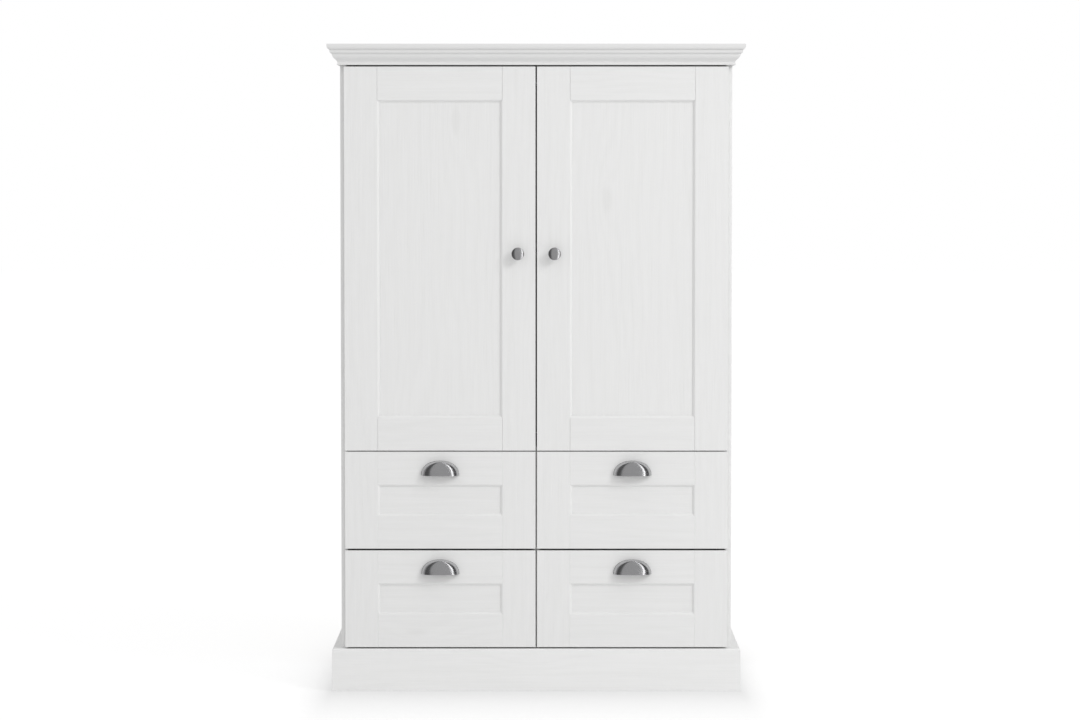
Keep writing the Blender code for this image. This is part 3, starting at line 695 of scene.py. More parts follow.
for side_name, hand in HANDS:
    bm = bmesh.new()
    turn(bm, rose + neck + rim + dome, (hand * KNOB_X, FACE_Y - ROSE_OFF, KNOB_Z),
         (0, -1, 0), 72)
    knob = make_piece(f"knob_{side_name}", bm, nickel_turned, f"door_{side_name}",
                      50)
    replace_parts(knob, f"door_{side_name}_knob")

# %% [markdown]
# ## The cup pulls
# A cup pull is pressed from one sheet: a thin half-round flange against the drawer, and a
# hollow hood to hook the fingers under. Seen from the front its outline is a flattened half
# circle. Seen from above each level is an ellipse, and the front stays nearly upright until
# it rolls over at the top, which is why its reflections are straight bands. The same rule
# gives the outside and, a wall's thickness in, the inside.

# %% Press the pulls
pull_low, pull_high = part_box("drawer_lower_right_pull")
PULL_HALF, PULL_REACH, PULL_HEIGHT = (pull_high - pull_low) * Vector((0.5, 1, 1))
PULL_WALL, FLANGE = 0.0015, 0.0019
HOOD_IN, HOOD_DOWN = 0.0007, 0.0006
FULLNESS = 2.25                   # 2 would make the outline a half ellipse
SQUARE, UPRIGHT = 0.80, 0.2       # how square each level is, and how upright the front
SPREAD, LIFT, LIFT_EASE = 56, 26, 0.9


def hood_point(across, up, thin):
    """A point of the hood, from turn angle across and height angle up, thin inside it."""
    half, reach = PULL_HALF - HOOD_IN - thin, PULL_REACH - thin
    height = PULL_HEIGHT - HOOD_DOWN - thin
    rise = math.sin(up)
    width = (1 - rise ** FULLNESS) ** (1 / FULLNESS) if rise < 1 else 0.0
    x = half * width * math.copysign(abs(math.cos(across)) ** SQUARE, math.cos(across))
    y = -reach * width ** UPRIGHT * max(math.sin(across), 0.0) ** SQUARE
    return Vector((x, y if 0 < across < math.pi else 0.0, height * rise))


def press_pull(bm, place):
    """A hood of two shells, closed at its mouth and sides, and the flange behind it."""
    place = Vector(place)
    turns = [math.pi * i / SPREAD for i in range(SPREAD + 1)]
    lifts = [math.pi / 2 * (j / LIFT) ** LIFT_EASE for j in range(LIFT)]
    shells = []
    for thin in (0.0, PULL_WALL):
        shell = [[bm.verts.new(place + hood_point(u, v, thin)) for u in turns] for v in lifts]
        pole = bm.verts.new(place + hood_point(math.pi / 2, math.pi / 2, thin))
        for low, high in zip(shell, shell[1:]):
            for i in range(SPREAD):
                bm.faces.new((low[i], low[i + 1], high[i + 1], high[i]))
        for i in range(SPREAD):
            bm.faces.new((shell[-1][i], shell[-1][i + 1], pole))
        shells.append(shell + [[pole] * (SPREAD + 1)])
    outer, inner = shells
    for i in range(SPREAD):
        bm.faces.new((outer[0][i], outer[0][i + 1], inner[0][i + 1], inner[0][i]))
    for end in (0, SPREAD):
        for low_o, high_o, low_i, high_i in zip(outer, outer[1:], inner, inner[1:]):
            bm.faces.new((low_o[end], high_o[end], high_i[end], low_i[end]))
    rings = []
    for inset, depth, inside in ((0, 0, False), (0, FLANGE - 0.0006, False),
                                 (0.0002, FLANGE - 0.0002, False), (0.0007, FLANGE, False),
                                 (0, FLANGE, True), (0, 0, True)):
        ring = []
        for u in turns:
            if inside:
                half = PULL_HALF - HOOD_IN - PULL_WALL / 2
                tall = PULL_HEIGHT - HOOD_DOWN - PULL_WALL / 2
            else:
                half, tall = PULL_HALF - inset, PULL_HEIGHT - inset
            power = 2 / FULLNESS
            flat = Vector((half * math.copysign(abs(math.cos(u)) ** power, math.cos(u)), 0,
                           tall * max(math.sin(u), 0.0) ** power))
            ring.append(bm.verts.new(place + flat + Vector((0, -depth, 0))))
        rings.append(ring)
    for low, high in zip(rings, rings[1:] + rings[:1]):
        for i in range(SPREAD):
            bm.faces.new((low[i], low[i + 1], high[i + 1], high[i]))
    for end in (0, SPREAD):
        bm.faces.new([ring[end] for ring in rings])


for level in LEVELS:
    for side_name in SIDES:
        low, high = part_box(f"drawer_{level}_{side_name}_pull")
        bm = bmesh.new()
        press_pull(bm, ((low.x + high.x) / 2, high.y, low.z))
        pull = make_piece(f"cup_pull_{level}_{side_name}", bm, nickel_brushed,
                          f"drawer_{level}_{side_name}", 45)
        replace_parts(pull, f"drawer_{level}_{side_name}_pull")

# %% [markdown]
# ## The cornice
# The cornice is one moulding run round three sides: from the foot up, a toe, a long cyma, an
# ovolo, a fillet and a rounded crown. Three stacked boards would lack its curves, and cutting
# mitres by hand is slow. It follows a rule, so it is grown with Geometry Nodes: the profile is
# swept along a straight run, and each end is then pushed on by how far the point stands out,
# which is just what a mitre does. The back ends stay square.

# %% A tree with named inputs
def new_tree(name, inputs):
    """A geometry tree with a socket for each (kind, default), and a way to read them."""
    tree = bpy.data.node_groups.new(name, "GeometryNodeTree")
    tree.is_modifier = True
    tree.interface.new_socket("Geometry", in_out="INPUT", socket_type="NodeSocketGeometry")
    for label, (kind, value) in inputs.items():
        socket = tree.interface.new_socket(label, in_out="INPUT",
                                           socket_type="NodeSocket" + kind)
        if value is not None:
            socket.default_value = value
    tree.interface.new_socket("Geometry", in_out="OUTPUT", socket_type="NodeSocketGeometry")
    entry = tree.nodes.new("NodeGroupInput")
    return tree, lambda label: Wire(tree, entry.outputs[label])


def join(tree, *parts):
    """Several geometries as one."""
    whole = add_node(tree, "GeometryNodeJoinGeometry")
    for part in parts:
        tree.links.new(part.socket, whole.socket.node.inputs["Geometry"])
    return whole


def close_tree(tree, geometry, finish):
    """Realises the instances, puts the finish on and ends the tree."""
    whole = add_node(tree, "GeometryNodeRealizeInstances", {}, {"Geometry": geometry})
    done = add_node(tree, "GeometryNodeSetMaterial", {}, {
        "Geometry": whole, "Material": finish})
    tree.links.new(done.socket, tree.nodes.new("NodeGroupOutput").inputs["Geometry"])


def grow(name, tree, start, values, body):
    """Runs a tree on a start mesh or curve and keeps the plain mesh it makes."""
    seedling = bpy.data.objects.new("start_of_" + name, start)
    bpy.context.scene.collection.objects.link(seedling)
    modifier = seedling.modifiers.new("grow", "NODES")
    modifier.node_group = tree
    for item in tree.interface.items_tree:
        if item.in_out == "INPUT" and item.name in values:
            modifier[item.identifier] = values[item.name]
    depsgraph = bpy.context.evaluated_depsgraph_get()
    mesh = bpy.data.meshes.new_from_object(seedling.evaluated_get(depsgraph),
                                           depsgraph=depsgraph)
    mesh.name = name
    seedling.modifiers.clear()
    bpy.data.objects.remove(seedling)
    return seat_piece(name, mesh, body)


print("geometry trees can be grown")

# %% Sweep the cornice
CORNICE_OUT, CORNICE_HEIGHT, CORNICE_SHARP = 0.035, 0.0580, 28
toe = [(0.0062, 0.0), (0.0074, 0.0010), (0.0076, 0.0024), (0.0070, 0.0048),
       (0.0062, 0.0072)]
cyma = [(0.0070, 0.0100), (0.0091, 0.0130), (0.0120, 0.0155), (0.0150, 0.0180),
        (0.0176, 0.0210), (0.0193, 0.0240), (0.0203, 0.0270), (0.0208, 0.0300),
        (0.0208, 0.0316)]
ovolo = [(0.0238, 0.0320), (0.0254, 0.0332), (0.0265, 0.0350), (0.0270, 0.0372),
         (0.0270, 0.0395)]
fillet = [(0.0266, 0.0428)]
crown = [(0.0302, 0.0432), (0.0320, 0.0446), (0.0335, 0.0468), (0.0344, 0.0500),
         (0.0349, 0.0535), (0.0350, 0.0560), (0.0347, 0.0572), (0.0338, 0.0579),
         (0.0325, 0.0580)]
cornice_profile = ([(-0.0006, 0.0)] + toe + cyma + ovolo + fillet + crown
                   + [(-0.0006, CORNICE_HEIGHT)])

run_tree, entry = new_tree("cornice_run", {
    "Half length": ("Float", 0.5), "Mitre at start": ("Float", 1.0),
    "Mitre at end": ("Float", 1.0), "Finish": ("Material", None)})
path = add_node(run_tree, "GeometryNodeCurvePrimitiveLine", {}, {
    "Start": vector(run_tree, 0.0, 0.0, 0 - entry("Half length")),
    "End": vector(run_tree, 0.0, 0.0, entry("Half length"))})
swept = add_node(run_tree, "GeometryNodeCurveToMesh", {}, {
    "Curve": path, "Profile Curve": entry("Geometry"), "Fill Caps": True})
standing_out, _, along = split(run_tree, add_node(run_tree, "GeometryNodeInputPosition"))
at_end = along > 0.0
pushed = standing_out * (at_end * entry("Mitre at end")
                         - (1 - at_end) * entry("Mitre at start"))
mitred = add_node(run_tree, "GeometryNodeSetPosition", {}, {
    "Geometry": swept, "Offset": vector(run_tree, 0.0, 0.0, pushed)})
close_tree(run_tree, mitred, entry("Finish"))


def profile_curve(points):
    """A closed flat outline through the points."""
    curve = bpy.data.curves.new("cornice_profile", "CURVE")
    curve.dimensions = "2D"
    curve.fill_mode = "NONE"
    spline = curve.splines.new("POLY")
    spline.points.add(len(points) - 1)
    for point, (out, up) in zip(spline.points, points):
        point.co = (out, up, 0, 1)
    spline.use_cyclic_u = True
    return curve


ZERO_X, ZERO_Y = OUTER_X, CORNICE_LOW.y + CORNICE_OUT
side_length = (CAD_BOX[1].y - ZERO_Y) / 2
runs = (("cornice_front", (0, ZERO_Y), 0.0, ZERO_X, 1.0, 1.0, "X"),
        ("cornice_left", (-ZERO_X, ZERO_Y + side_length), -90.0, side_length, 0.0, 1.0, "Y"),
        ("cornice_right", (ZERO_X, ZERO_Y + side_length), 90.0, side_length, 1.0, 0.0, "Y"))
for name, (x, y), heading, half, start_mitre, end_mitre, axis in runs:
    piece = grow("moulding_" + name, run_tree, profile_curve(cornice_profile), {
        "Half length": half, "Mitre at start": start_mitre, "Mitre at end": end_mitre,
        "Finish": shaded_cornice_foils[axis]}, "carcase")
    # The run was swept upright, standing out along X: lay it down and face it outwards.
    lay = Matrix(((0, 0, 1, 0), (-1, 0, 0, 0), (0, 1, 0, 0), (0, 0, 0, 1)))
    swing = Matrix.Rotation(math.radians(heading), 4, "Z")
    piece.data.transform(Matrix.Translation((x, y, CORNICE_LOW.z)) @ swing @ lay)
    bm = bmesh.new()
    bm.from_mesh(piece.data)
    true_up(bm, CORNICE_SHARP)
    bm.to_mesh(piece.data)
    bm.free()
    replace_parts(piece, name)
    corners = [max(v.co[i] for v in piece.data.vertices) for i in range(3)]
    print(name, "reaches", [round(c, 4) for c in corners])

# %% [markdown]
# ## The bored sides
# Each side is line-bored for the shelf: two columns of 5 mm holes on a 32 mm spacing, drilled
# 11 mm deep from the inside. Dark dots in the finish would look painted on from close by. The
# rule is the drawing, so Geometry Nodes repeats one drill up both columns and cuts the whole
# array out of the board at once. Inside the holes the foil stops, and brown chips show.

# %% Bore the sides
PIN_RADIUS, HOLE_SPACING, HOLE_ROWS, HOLE_DEPTH = 0.0025, 0.032, 23, 0.011
ROWS_BELOW_SHELF = 11
PIN_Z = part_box("shelf")[0].z - PIN_RADIUS
PIN_COLUMNS = (CARCASE_Y + 0.037, 0.196)

bore_tree, entry = new_tree("bored_board", {
    "Wall": ("Float", 0.5), "Front column": ("Float", 0.0), "Back column": ("Float", 0.1),
    "First height": ("Float", 0.5), "Spacing": ("Float", 0.032), "Rows": ("Int", 10),
    "Radius": ("Float", 0.0025), "Depth": ("Float", 0.01), "Finish": ("Material", None)})
column = add_node(bore_tree, "GeometryNodeMeshLine", {"mode": "OFFSET"}, {
    "Count": entry("Rows"),
    "Start Location": vector(bore_tree, entry("Wall"), entry("Front column"),
                             entry("First height")),
    "Offset": vector(bore_tree, 0.0, 0.0, entry("Spacing"))})
second = add_node(bore_tree, "GeometryNodeTransform", {}, {
    "Geometry": column,
    "Translation": vector(bore_tree, 0.0, entry("Back column") - entry("Front column"), 0.0)})
drill = add_node(bore_tree, "GeometryNodeMeshCylinder", {}, {
    "Vertices": 16, "Radius": entry("Radius"), "Depth": entry("Depth") * 2})
drills = add_node(bore_tree, "GeometryNodeInstanceOnPoints", {}, {
    "Points": join(bore_tree, column, second), "Instance": drill,
    "Rotation": (0.0, math.pi / 2, 0.0)})
bored = add_node(bore_tree, "GeometryNodeMeshBoolean", {
    "operation": "DIFFERENCE", "solver": "EXACT"}, {
    "Mesh 1": entry("Geometry"),
    "Mesh 2": add_node(bore_tree, "GeometryNodeRealizeInstances", {}, {"Geometry": drills})})
close_tree(bore_tree, bored, entry("Finish"))


def board_copy(node):
    """A board's mesh with its triangles' shared corners merged."""
    bm = bmesh.new()
    bm.from_mesh(NODES[node].data)
    bmesh.ops.remove_doubles(bm, verts=bm.verts, dist=1e-6)
    bmesh.ops.dissolve_limit(bm, verts=bm.verts, edges=bm.edges, angle_limit=0.001)
    mesh = bpy.data.meshes.new(node + "_copy")
    bm.to_mesh(mesh)
    bm.free()
    return mesh


for side_name, hand in HANDS:
    side = grow(f"bored_side_{side_name}", bore_tree, board_copy(f"side_{side_name}"), {
        "Wall": hand * BAY_X, "Front column": PIN_COLUMNS[0], "Back column": PIN_COLUMNS[1],
        "First height": PIN_Z - ROWS_BELOW_SHELF * HOLE_SPACING, "Spacing": HOLE_SPACING,
        "Rows": HOLE_ROWS, "Radius": PIN_RADIUS, "Depth": HOLE_DEPTH, "Finish": lightened_side_foil},
        "carcase")
    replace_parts(side, f"side_{side_name}")

# %% [markdown]
# ## Shelf pins
# The shelf rests on four turned pins, pushed into the bored holes up to a small collar. A plain
# peg would do to hold it up, but the collar is what shows under the shelf's edge, so the pin is
# turned from its profile: a chamfered tip, the shank, the collar and a bevelled peg.

# %% Push in the shelf pins
pin = [(0, -0.0090), (0.0017, -0.0090), (0.0023, -0.0084), (0.0023, 0.0), (0.0031, 0.0),
       (0.0031, 0.0007), (PIN_RADIUS - 0.0001, 0.0007), (PIN_RADIUS - 0.0001, 0.0080),
       (0.0018, 0.0088), (0, 0.0088)]
bm = bmesh.new()
for side_name, hand in HANDS:
    for column_y in PIN_COLUMNS:
        turn(bm, pin, (hand * BAY_X, column_y, PIN_Z - 0.0001), (-hand, 0, 0), 24)
make_piece("shelf_pins", bm, zinc, "carcase")

# %% [markdown]
# ## The hanging rail
# The rail is a chromed steel tube, open at its ends, which rest in two socket cups screwed to
# the sides. The cups are wider than the tube, so that it can be dropped in. Both are turned
# from closed profiles that never touch the axis, which gives them a real wall and a bore.

# %% Hang the rail
rail_low, rail_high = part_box("hanging_rail")
rail_at = (rail_low + rail_high) / 2
RAIL_RADIUS, RAIL_WALL = (rail_high.z - rail_low.z) / 2, 0.0012
tube = [(RAIL_RADIUS - RAIL_WALL, rail_low.x), (RAIL_RADIUS - 0.0003, rail_low.x),
        (RAIL_RADIUS, rail_low.x + 0.0003), (RAIL_RADIUS, rail_high.x - 0.0003),
        (RAIL_RADIUS - 0.0003, rail_high.x), (RAIL_RADIUS - RAIL_WALL, rail_high.x)]
bm = bmesh.new()
turn(bm, tube, rail_at, (1, 0, 0), 72, hollow=True)
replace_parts(make_piece("rail_tube", bm, chrome, "carcase"), "hanging_rail")

SOCKET_RING = 0.0215
socket_profile = [(0.0129, 0.0), (SOCKET_RING - 0.0004, 0.0), (SOCKET_RING, 0.0004),
                  (SOCKET_RING, 0.0014), (SOCKET_RING - 0.0006, 0.0020), (0.0158, 0.0022),
                  (0.0148, 0.0030), (0.0145, 0.0044), (0.0144, 0.0084), (0.0141, 0.0088),
                  (0.0132, 0.0088), (0.0129, 0.0084)]
bm = bmesh.new()
for side_name, hand in HANDS:
    turn(bm, socket_profile, (hand * BAY_X, rail_at.y, rail_at.z), (-hand, 0, 0), 56,
         hollow=True)
make_piece("rail_sockets", bm, chrome, "carcase")

# %% [markdown]
# ## Runners on the drawers
# The carcase half of each runner is a channel with a front roller. The drawer half is a thin
# bent strip under the bottom edge of the box: one leg goes under the box, one stands against
# its side, and a tread rides on the front roller. A nylon roller at its back end runs in the
# channel. Its shape is one bent section, so the section is drawn once and pulled out along
# the box for each edge, as the steel is rolled.

# %% Bend the drawer runners
def pull_out(bm, section, low_y, high_y):
    """Closes an (x, z) section into a prism from low_y to high_y."""
    ends = [[bm.verts.new((x, y, z)) for x, z in section] for y in (low_y, high_y)]
    for k in range(len(section)):
        after = (k + 1) % len(section)
        bm.faces.new((ends[0][k], ends[0][after], ends[1][after], ends[1][k]))
    for end in ends:
        bm.faces.new(end)


def drawer_edges(level, side_name):
    """The two bottom edges of a box: (x, which way is out, height)."""
    low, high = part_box(f"drawer_{level}_{side_name}_box")
    return ((low.x, -1, low.z), (high.x, 1, low.z))


UNDER, TREAD, STEEL = 0.012, 0.0075, 0.0006
REAR_ROLLER_Y = BOX_BACK - 0.0188
leg_in, leg_out, tread_z = 0.0001, 0.0001 + STEEL, 0.0022
sole_low, sole_high, leg_top, tail_top = -0.0009, -0.0003, 0.012, 0.0152
strip = [(-UNDER, sole_low), (leg_out, sole_low), (leg_out, tread_z), (TREAD, tread_z),
         (TREAD, tread_z + STEEL), (leg_out, tread_z + STEEL), (leg_out, leg_top),
         (leg_in, leg_top), (leg_in, sole_high), (-UNDER, sole_high)]
tail = [(-UNDER, sole_low), (leg_out, sole_low), (leg_out, tail_top), (leg_in, tail_top),
        (leg_in, sole_high), (-UNDER, sole_high)]
roller = [(0, 0.0), (0.0024, 0.0), (0.0028, 0.0004), (0.0060, 0.0005), (0.0071, 0.0008),
          (0.0074, 0.0014), (0.0074, 0.0074), (0.0070, 0.0082), (0.0058, 0.0085),
          (0.0052, 0.0078), (0.0030, 0.0078), (0.0026, 0.0085), (0, 0.0085)]
for level in LEVELS:
    for side_name in SIDES:
        steel, rollers = bmesh.new(), bmesh.new()
        for edge_x, way, edge_z in drawer_edges(level, side_name):
            for section, low_y, high_y in (
                    (strip, BOX_FRONT + 0.0017, REAR_ROLLER_Y - 0.0110),
                    (tail, REAR_ROLLER_Y - 0.0108, BOX_BACK - 0.0040)):
                pull_out(steel, [(edge_x + way * x, edge_z + z) for x, z in section],
                         low_y, high_y)
            turn(rollers, roller, (edge_x + way * 0.0008, REAR_ROLLER_Y, edge_z + 0.0076),
                 (way, 0, 0), 40)
        body = f"drawer_{level}_{side_name}"
        make_piece(f"drawer_runners_{level}_{side_name}", steel, powder_coat, body)
        make_piece(f"drawer_rollers_{level}_{side_name}", rollers, nylon, body)

# %% [markdown]
# ## Hinge cheeks
# A concealed hinge turns on a pin held by two thin cheeks in the mouth of its cup. The pin is
# inside the arm's knuckle, so only its riveted heads show outside the cheeks. The cheeks are
# small flat pressings, so they are softened blocks, and the rivet heads are turned.

# %% Set the hinge cheeks
PIVOT_X, PIVOT_Y = 0.526, -0.235
CHEEK_X, CHEEK_Y = (0.5190, 0.5294), (-0.2375, -0.2276)
cheek_gap, cheek = 0.0043, 0.0008
rivet = [(0, 0), (0.0017, 0), (0.0017, 0.0003), (0.0011, 0.0006), (0, 0.0007)]
for side_name, hand in HANDS:
    bm = bmesh.new()
    for level in LEVELS:
        z = middle(f"hinge_arm_{side_name}_{level}").z
        for way in (-1, 1):
            press(bm, (hand * CHEEK_X[0], CHEEK_Y[0], z + way * cheek_gap),
                  (hand * CHEEK_X[1], CHEEK_Y[1], z + way * (cheek_gap + cheek)), 0.00025)
            turn(bm, rivet, (hand * PIVOT_X, PIVOT_Y, z + way * (cheek_gap + cheek)),
                 (0, 0, way), 16)
    make_piece(f"hinge_cheeks_{side_name}", bm, hinge_plate, f"door_{side_name}")

# %% [markdown]
# ## Screws
# Dozens of screws hold the fittings, and they are all one thing: a low head with a cross
# pressed into it. Geometry Nodes puts that head on a list of points. Each point carries the way
# it faces, and each head is turned by its own amount, because nobody lines screws up by hand.

# %% Grow the screws
screw_tree, entry = new_tree("screw_heads", {
    "Radius": ("Float", 0.0034), "Rise": ("Float", 0.001), "Seed": ("Int", 3),
    "Finish": ("Material", None)})
head = add_node(screw_tree, "GeometryNodeMeshCone", {}, {
    "Vertices": 18, "Radius Top": entry("Radius") * 0.68, "Radius Bottom": entry("Radius"),
    "Depth": entry("Rise")})
blades = [add_node(screw_tree, "GeometryNodeTransform", {}, {
    "Geometry": add_node(screw_tree, "GeometryNodeMeshCube", {}, {
        "Size": vector(screw_tree, entry("Radius") * long, entry("Radius") * short,
                       entry("Rise"))}),
    "Translation": vector(screw_tree, 0.0, 0.0, entry("Rise"))})
    for long, short in ((1.0, 0.22), (0.22, 1.0))]
recess = add_node(screw_tree, "GeometryNodeMeshBoolean", {
    "operation": "UNION", "solver": "EXACT"}, {"Mesh 2": blades[0]})
screw_tree.links.new(blades[1].socket, recess.socket.node.inputs["Mesh 2"])
crossed = add_node(screw_tree, "GeometryNodeMeshBoolean", {
    "operation": "DIFFERENCE", "solver": "EXACT"}, {"Mesh 1": head, "Mesh 2": recess})
facing = add_node(screw_tree, "FunctionNodeAlignRotationToVector", {"axis": "Z"}, {
    "Vector": add_node(screw_tree, "GeometryNodeInputNamedAttribute", {
        "data_type": "FLOAT_VECTOR"}, {"Name": "facing"})})
spin = add_node(screw_tree, "FunctionNodeRandomValue", {"data_type": "FLOAT"}, {
    2: 0.0, 3: math.pi, "Seed": entry("Seed")}, output=1)
turned_head = add_node(screw_tree, "FunctionNodeRotateRotation", {
    "rotation_space": "LOCAL"}, {
    "Rotation": facing, "Rotate By": vector(screw_tree, 0.0, 0.0, spin)})
heads = add_node(screw_tree, "GeometryNodeInstanceOnPoints", {}, {
    "Points": entry("Geometry"), "Instance": crossed, "Rotation": turned_head})
close_tree(screw_tree, heads, entry("Finish"))


def facing_points(name, places):
    """Loose points, each with the way it faces."""
    mesh = bpy.data.meshes.new(name)
    mesh.from_pydata([tuple(point) for point, way in places], [], [])
    attribute = mesh.attributes.new("facing", "FLOAT_VECTOR", "POINT")
    for item, (point, way) in zip(attribute.data, places):
        item.vector = way
    return mesh


def drive(name, places, body, radius, rise, seed):
    """Drives one screw at each (point, way it faces)."""
    grow(name, screw_tree, facing_points(name + "_places", places), {
        "Radius": radius, "Rise": rise, "Seed": seed, "Finish": zinc}, body)


# %% Drive the carcase screws
BACK, DOWN = (0, 1, 0), (0, 0, -1)
PLATE = 0.0020                    # thickness of a hinge's wing plate and of a rail socket
WING_Y, WING_UP = -0.1855, 0.0195
ARM_X, ARM_SCREWS_Y = 0.5080, (-0.2070, -0.1780)
RUNNER_X, RUNNER_SCREWS_Y, RUNNER_DROP = (0.5245, 0.0105), (-0.1700, 0.0100, 0.1900), 0.0075
SOCKET_UP = 0.0183
hinge_screws, runner_screws, socket_screws = [], [], []
for side_name, hand in HANDS:
    inward = (-hand, 0, 0)
    for level in LEVELS:
        z = middle(f"hinge_arm_{side_name}_{level}").z
        hinge_screws += [((hand * (BAY_X - PLATE), WING_Y, z + up), inward)
                         for up in (-WING_UP, WING_UP)]
        hinge_screws += [((hand * ARM_X, y, z), inward) for y in ARM_SCREWS_Y]
        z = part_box(f"drawer_{level}_{side_name}_box")[0].z - RUNNER_DROP
        for y in RUNNER_SCREWS_Y:
            runner_screws += [((hand * RUNNER_X[0], y, z), inward),
                              ((hand * RUNNER_X[1], y, z), (hand, 0, 0))]
    socket_screws += [((hand * (BAY_X - PLATE), rail_at.y, rail_at.z + up), inward)
                      for up in (-SOCKET_UP, SOCKET_UP)]
drive("hinge_screws", hinge_screws, "carcase", 0.0032, 0.001, 3)
drive("runner_screws", runner_screws, "carcase", 0.0030, 0.0009, 5)
drive("socket_screws", socket_screws, "carcase", 0.0024, 0.0009, 7)

# %% Drive the door and drawer screws
EAR_X, EAR, EAR_UP = 0.5125, 0.0010, 0.0225          # the screw ears of a hinge cup
PULL_SCREW_X, FRONT_SCREW_X, CORNER_Z = 0.032, 0.18, (0.045, 0.130)
STRIP_IN, STRIP_SCREWS_Y, CORNER_IN = 0.006, (-0.18, 0.0, 0.17), 0.006
for side_name, hand in HANDS:
    places = [((hand * EAR_X, BACK_OF_FRONTS_Y + EAR,
                middle(f"hinge_arm_{side_name}_{level}").z + up), BACK)
              for level in LEVELS for up in (-EAR_UP, EAR_UP)]
    places.append(((hand * KNOB_X, BACK_OF_FRONTS_Y, KNOB_Z), BACK))
    drive(f"door_screws_{side_name}", places, f"door_{side_name}", 0.0030, 0.001, 11 + hand)
    for level in LEVELS:
        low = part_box(f"drawer_{level}_{side_name}_box")[0]
        pull_at = middle(f"drawer_{level}_{side_name}_pull")
        places = [((pull_at.x + x, BACK_OF_FRONTS_Y, pull_at.z), BACK)
                  for x in (-PULL_SCREW_X, PULL_SCREW_X)]
        places += [((pull_at.x + x, BOX_FRONT + BOX_BOARD, low.z + z), BACK)
                   for x in (-FRONT_SCREW_X, FRONT_SCREW_X) for z in CORNER_Z]
        for edge_x, way, edge_z in drawer_edges(level, side_name):
            places += [((edge_x - way * STRIP_IN, y, edge_z + sole_low), DOWN)
                       for y in STRIP_SCREWS_Y]
            places += [((edge_x, y, edge_z + z), (way, 0, 0))
                       for y in (BOX_FRONT + CORNER_IN, BOX_BACK - CORNER_IN)
                       for z in CORNER_Z]
        drive(f"drawer_screws_{level}_{side_name}", places, f"drawer_{level}_{side_name}",
              0.0030, 0.0008, 13 + hand)

# %% [markdown]
# ## The back
# The back is two sheets of thin hardboard joined by a taped fold, so that it packs flat. It is
# nailed round its border and along the middle panel. Nails set one by one would take a long
# list of places. They follow the border, so they grow from two curves cut into even lengths,
# with a little wander from the hand that drove them.

# %% Cut the back and tape its fold
back_low, back_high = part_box("back_panel")
NAIL_RISE, FOLD, EASED = 0.0004, 0.0004, 0.0004
WHITE_SKIN = 0.0012               # in from the white face, past which the sheet is brown
sheet_back = back_high.y - NAIL_RISE
back_finish = hardboard("back_hardboard", lambda tree: (
    split(tree, own_place(tree))[1] > back_low.y + WHITE_SKIN))
bm = bmesh.new()
press(bm, back_low, (-FOLD, sheet_back, back_high.z), EASED, 1)
press(bm, (FOLD, back_low.y, back_low.z), (back_high.x, sheet_back, back_high.z), EASED, 1)
back = make_piece("back_sheets", bm, back_finish, "carcase")
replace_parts(back, "back_panel")

paper = moulded("white_paper_tape", (0.80, 0.79, 0.76), 0.55, 500.0, 0.00004)
TAPE_HALF, TAPE_LOW, TAPE_HIGH = 0.0125, 0.685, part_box("top_panel")[0].z - 0.001
bm = bmesh.new()
press(bm, (-TAPE_HALF, back_low.y - 0.00015, TAPE_LOW),
      (TAPE_HALF, back_low.y - 0.00002, TAPE_HIGH), 0.00005, 1)
make_piece("back_tape", bm, paper, "carcase")

# %% Nail it round
nail_tree, entry = new_tree("nailed_sheet", {
    "Width": ("Float", 1.0), "Height": ("Float", 1.0), "Cross height": ("Float", 0.0),
    "Spacing": ("Float", 0.1), "Radius": ("Float", 0.002), "Rise": ("Float", 0.0004),
    "Wander": ("Float", 0.002), "Seed": ("Int", 2), "Finish": ("Material", None)})
border = add_node(nail_tree, "GeometryNodeCurvePrimitiveQuadrilateral", {
    "mode": "RECTANGLE"}, {"Width": entry("Width"), "Height": entry("Height")})
across = add_node(nail_tree, "GeometryNodeCurvePrimitiveLine", {}, {
    "Start": vector(nail_tree, entry("Width") * -0.45, entry("Cross height"), 0.0),
    "End": vector(nail_tree, entry("Width") * 0.45, entry("Cross height"), 0.0)})
evenly = add_node(nail_tree, "GeometryNodeResampleCurve", {"mode": "LENGTH"}, {
    "Curve": join(nail_tree, border, across), "Length": entry("Spacing")})
points = add_node(nail_tree, "GeometryNodeCurveToPoints", {"mode": "EVALUATED"}, {
    "Curve": evenly})
stray = add_node(nail_tree, "FunctionNodeRandomValue", {"data_type": "FLOAT_VECTOR"}, {
    0: (-1.0, -1.0, 0.0), 1: (1.0, 1.0, 0.0), "Seed": entry("Seed")})
moved = add_node(nail_tree, "GeometryNodeSetPosition", {}, {
    "Geometry": points,
    "Offset": add_node(nail_tree, "ShaderNodeVectorMath", {"operation": "SCALE"}, {
        0: stray, "Scale": entry("Wander")})})
nail = add_node(nail_tree, "GeometryNodeMeshCone", {}, {
    "Vertices": 12, "Radius Top": entry("Radius") * 0.72, "Radius Bottom": entry("Radius"),
    "Depth": entry("Rise")})
nails = add_node(nail_tree, "GeometryNodeInstanceOnPoints", {}, {
    "Points": moved, "Instance": nail})
close_tree(nail_tree, nails, entry("Finish"))

NAIL_BORDER = 0.018               # what the nail line is short of the sheet, both edges
back_middle = (back_low + back_high) / 2
nailing = grow("back_nails", nail_tree, bpy.data.meshes.new("no_start"), {
    "Width": back_high.x - back_low.x - NAIL_BORDER,
    "Height": back_high.z - back_low.z - NAIL_BORDER,
    "Cross height": middle("middle_panel").z - back_middle.z, "Spacing": 0.105,
    "Radius": 0.0019, "Rise": NAIL_RISE, "Wander": 0.0022, "Seed": 4, "Finish": zinc},
    "carcase")
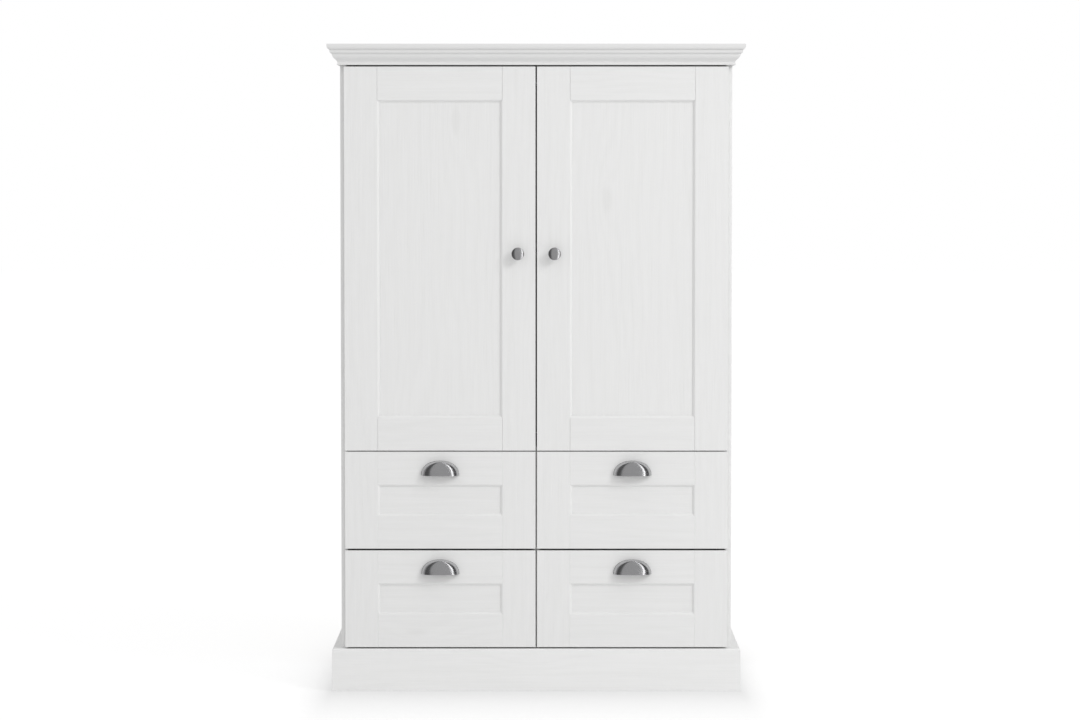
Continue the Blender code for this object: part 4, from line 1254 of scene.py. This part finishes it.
# The nails grew on a level sheet: stand it upright. The mirroring turns the faces inside
# out, so they are flipped back.
stand = Matrix.Rotation(math.radians(-90), 4, "X") @ Matrix.Scale(-1, 4, (0, 1, 0))
nailing.data.transform(Matrix.Translation((back_middle.x, sheet_back, back_middle.z)) @ stand)
nailing.data.flip_normals()

# %% [markdown]
# ## Bumpers and caps
# Soft clear buttons behind the fronts keep them off the carcase, and white caps hide the cam
# locks under the top and the middle panel. Both are round with a domed or dished face, so they
# are small turnings too.

# %% Stick on the bumpers and caps
BUMPER_RISE, DOOR_BUMPERS_X, DRAWER_BUMPERS_X = 0.0022, (0.030, 0.500), (0.0056, 0.5297)
DOOR_BUMPER_UP, DRAWER_BUMPER_IN = 0.006, 0.035
CAM_IN, CAM_Y = 0.034, (-0.150, 0.180)


def button(radius, height):
    """The profile of a domed button."""
    return [(0, 0), (radius, 0), (radius * 0.99, height * 0.25), (radius * 0.88, height * 0.62),
            (radius * 0.62, height * 0.90), (radius * 0.30, height), (0, height)]


for side_name, hand in HANDS:
    bm = bmesh.new()
    for x in DOOR_BUMPERS_X:
        turn(bm, button(0.0040, BUMPER_RISE),
             (hand * x, BACK_OF_FRONTS_Y, DOOR_LOW.z + DOOR_BUMPER_UP), BACK, 28)
    make_piece(f"door_bumpers_{side_name}", bm, silicone, f"door_{side_name}")
    for level in LEVELS:
        low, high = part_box(f"drawer_{level}_{side_name}_front")
        bm = bmesh.new()
        for x in DRAWER_BUMPERS_X:
            for z in (low.z + DRAWER_BUMPER_IN, high.z - DRAWER_BUMPER_IN):
                turn(bm, button(0.0030, BUMPER_RISE), (hand * x, BACK_OF_FRONTS_Y, z),
                     BACK, 24)
        make_piece(f"drawer_bumpers_{level}_{side_name}", bm, silicone,
                   f"drawer_{level}_{side_name}")

cap = [(0, 0), (0.0086, 0), (0.0088, 0.0003), (0.0084, 0.0009), (0.0072, 0.0012),
       (0.0040, 0.0013), (0.0034, 0.0009), (0.0012, 0.0008), (0, 0.0008)]
bm = bmesh.new()
for panel_name in ("top_panel", "middle_panel"):
    for side_name, hand in HANDS:
        for y in CAM_Y:
            turn(bm, cap, (hand * (BAY_X - CAM_IN), y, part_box(panel_name)[0].z), DOWN, 32)
make_piece("cam_caps", bm, nylon, "carcase")
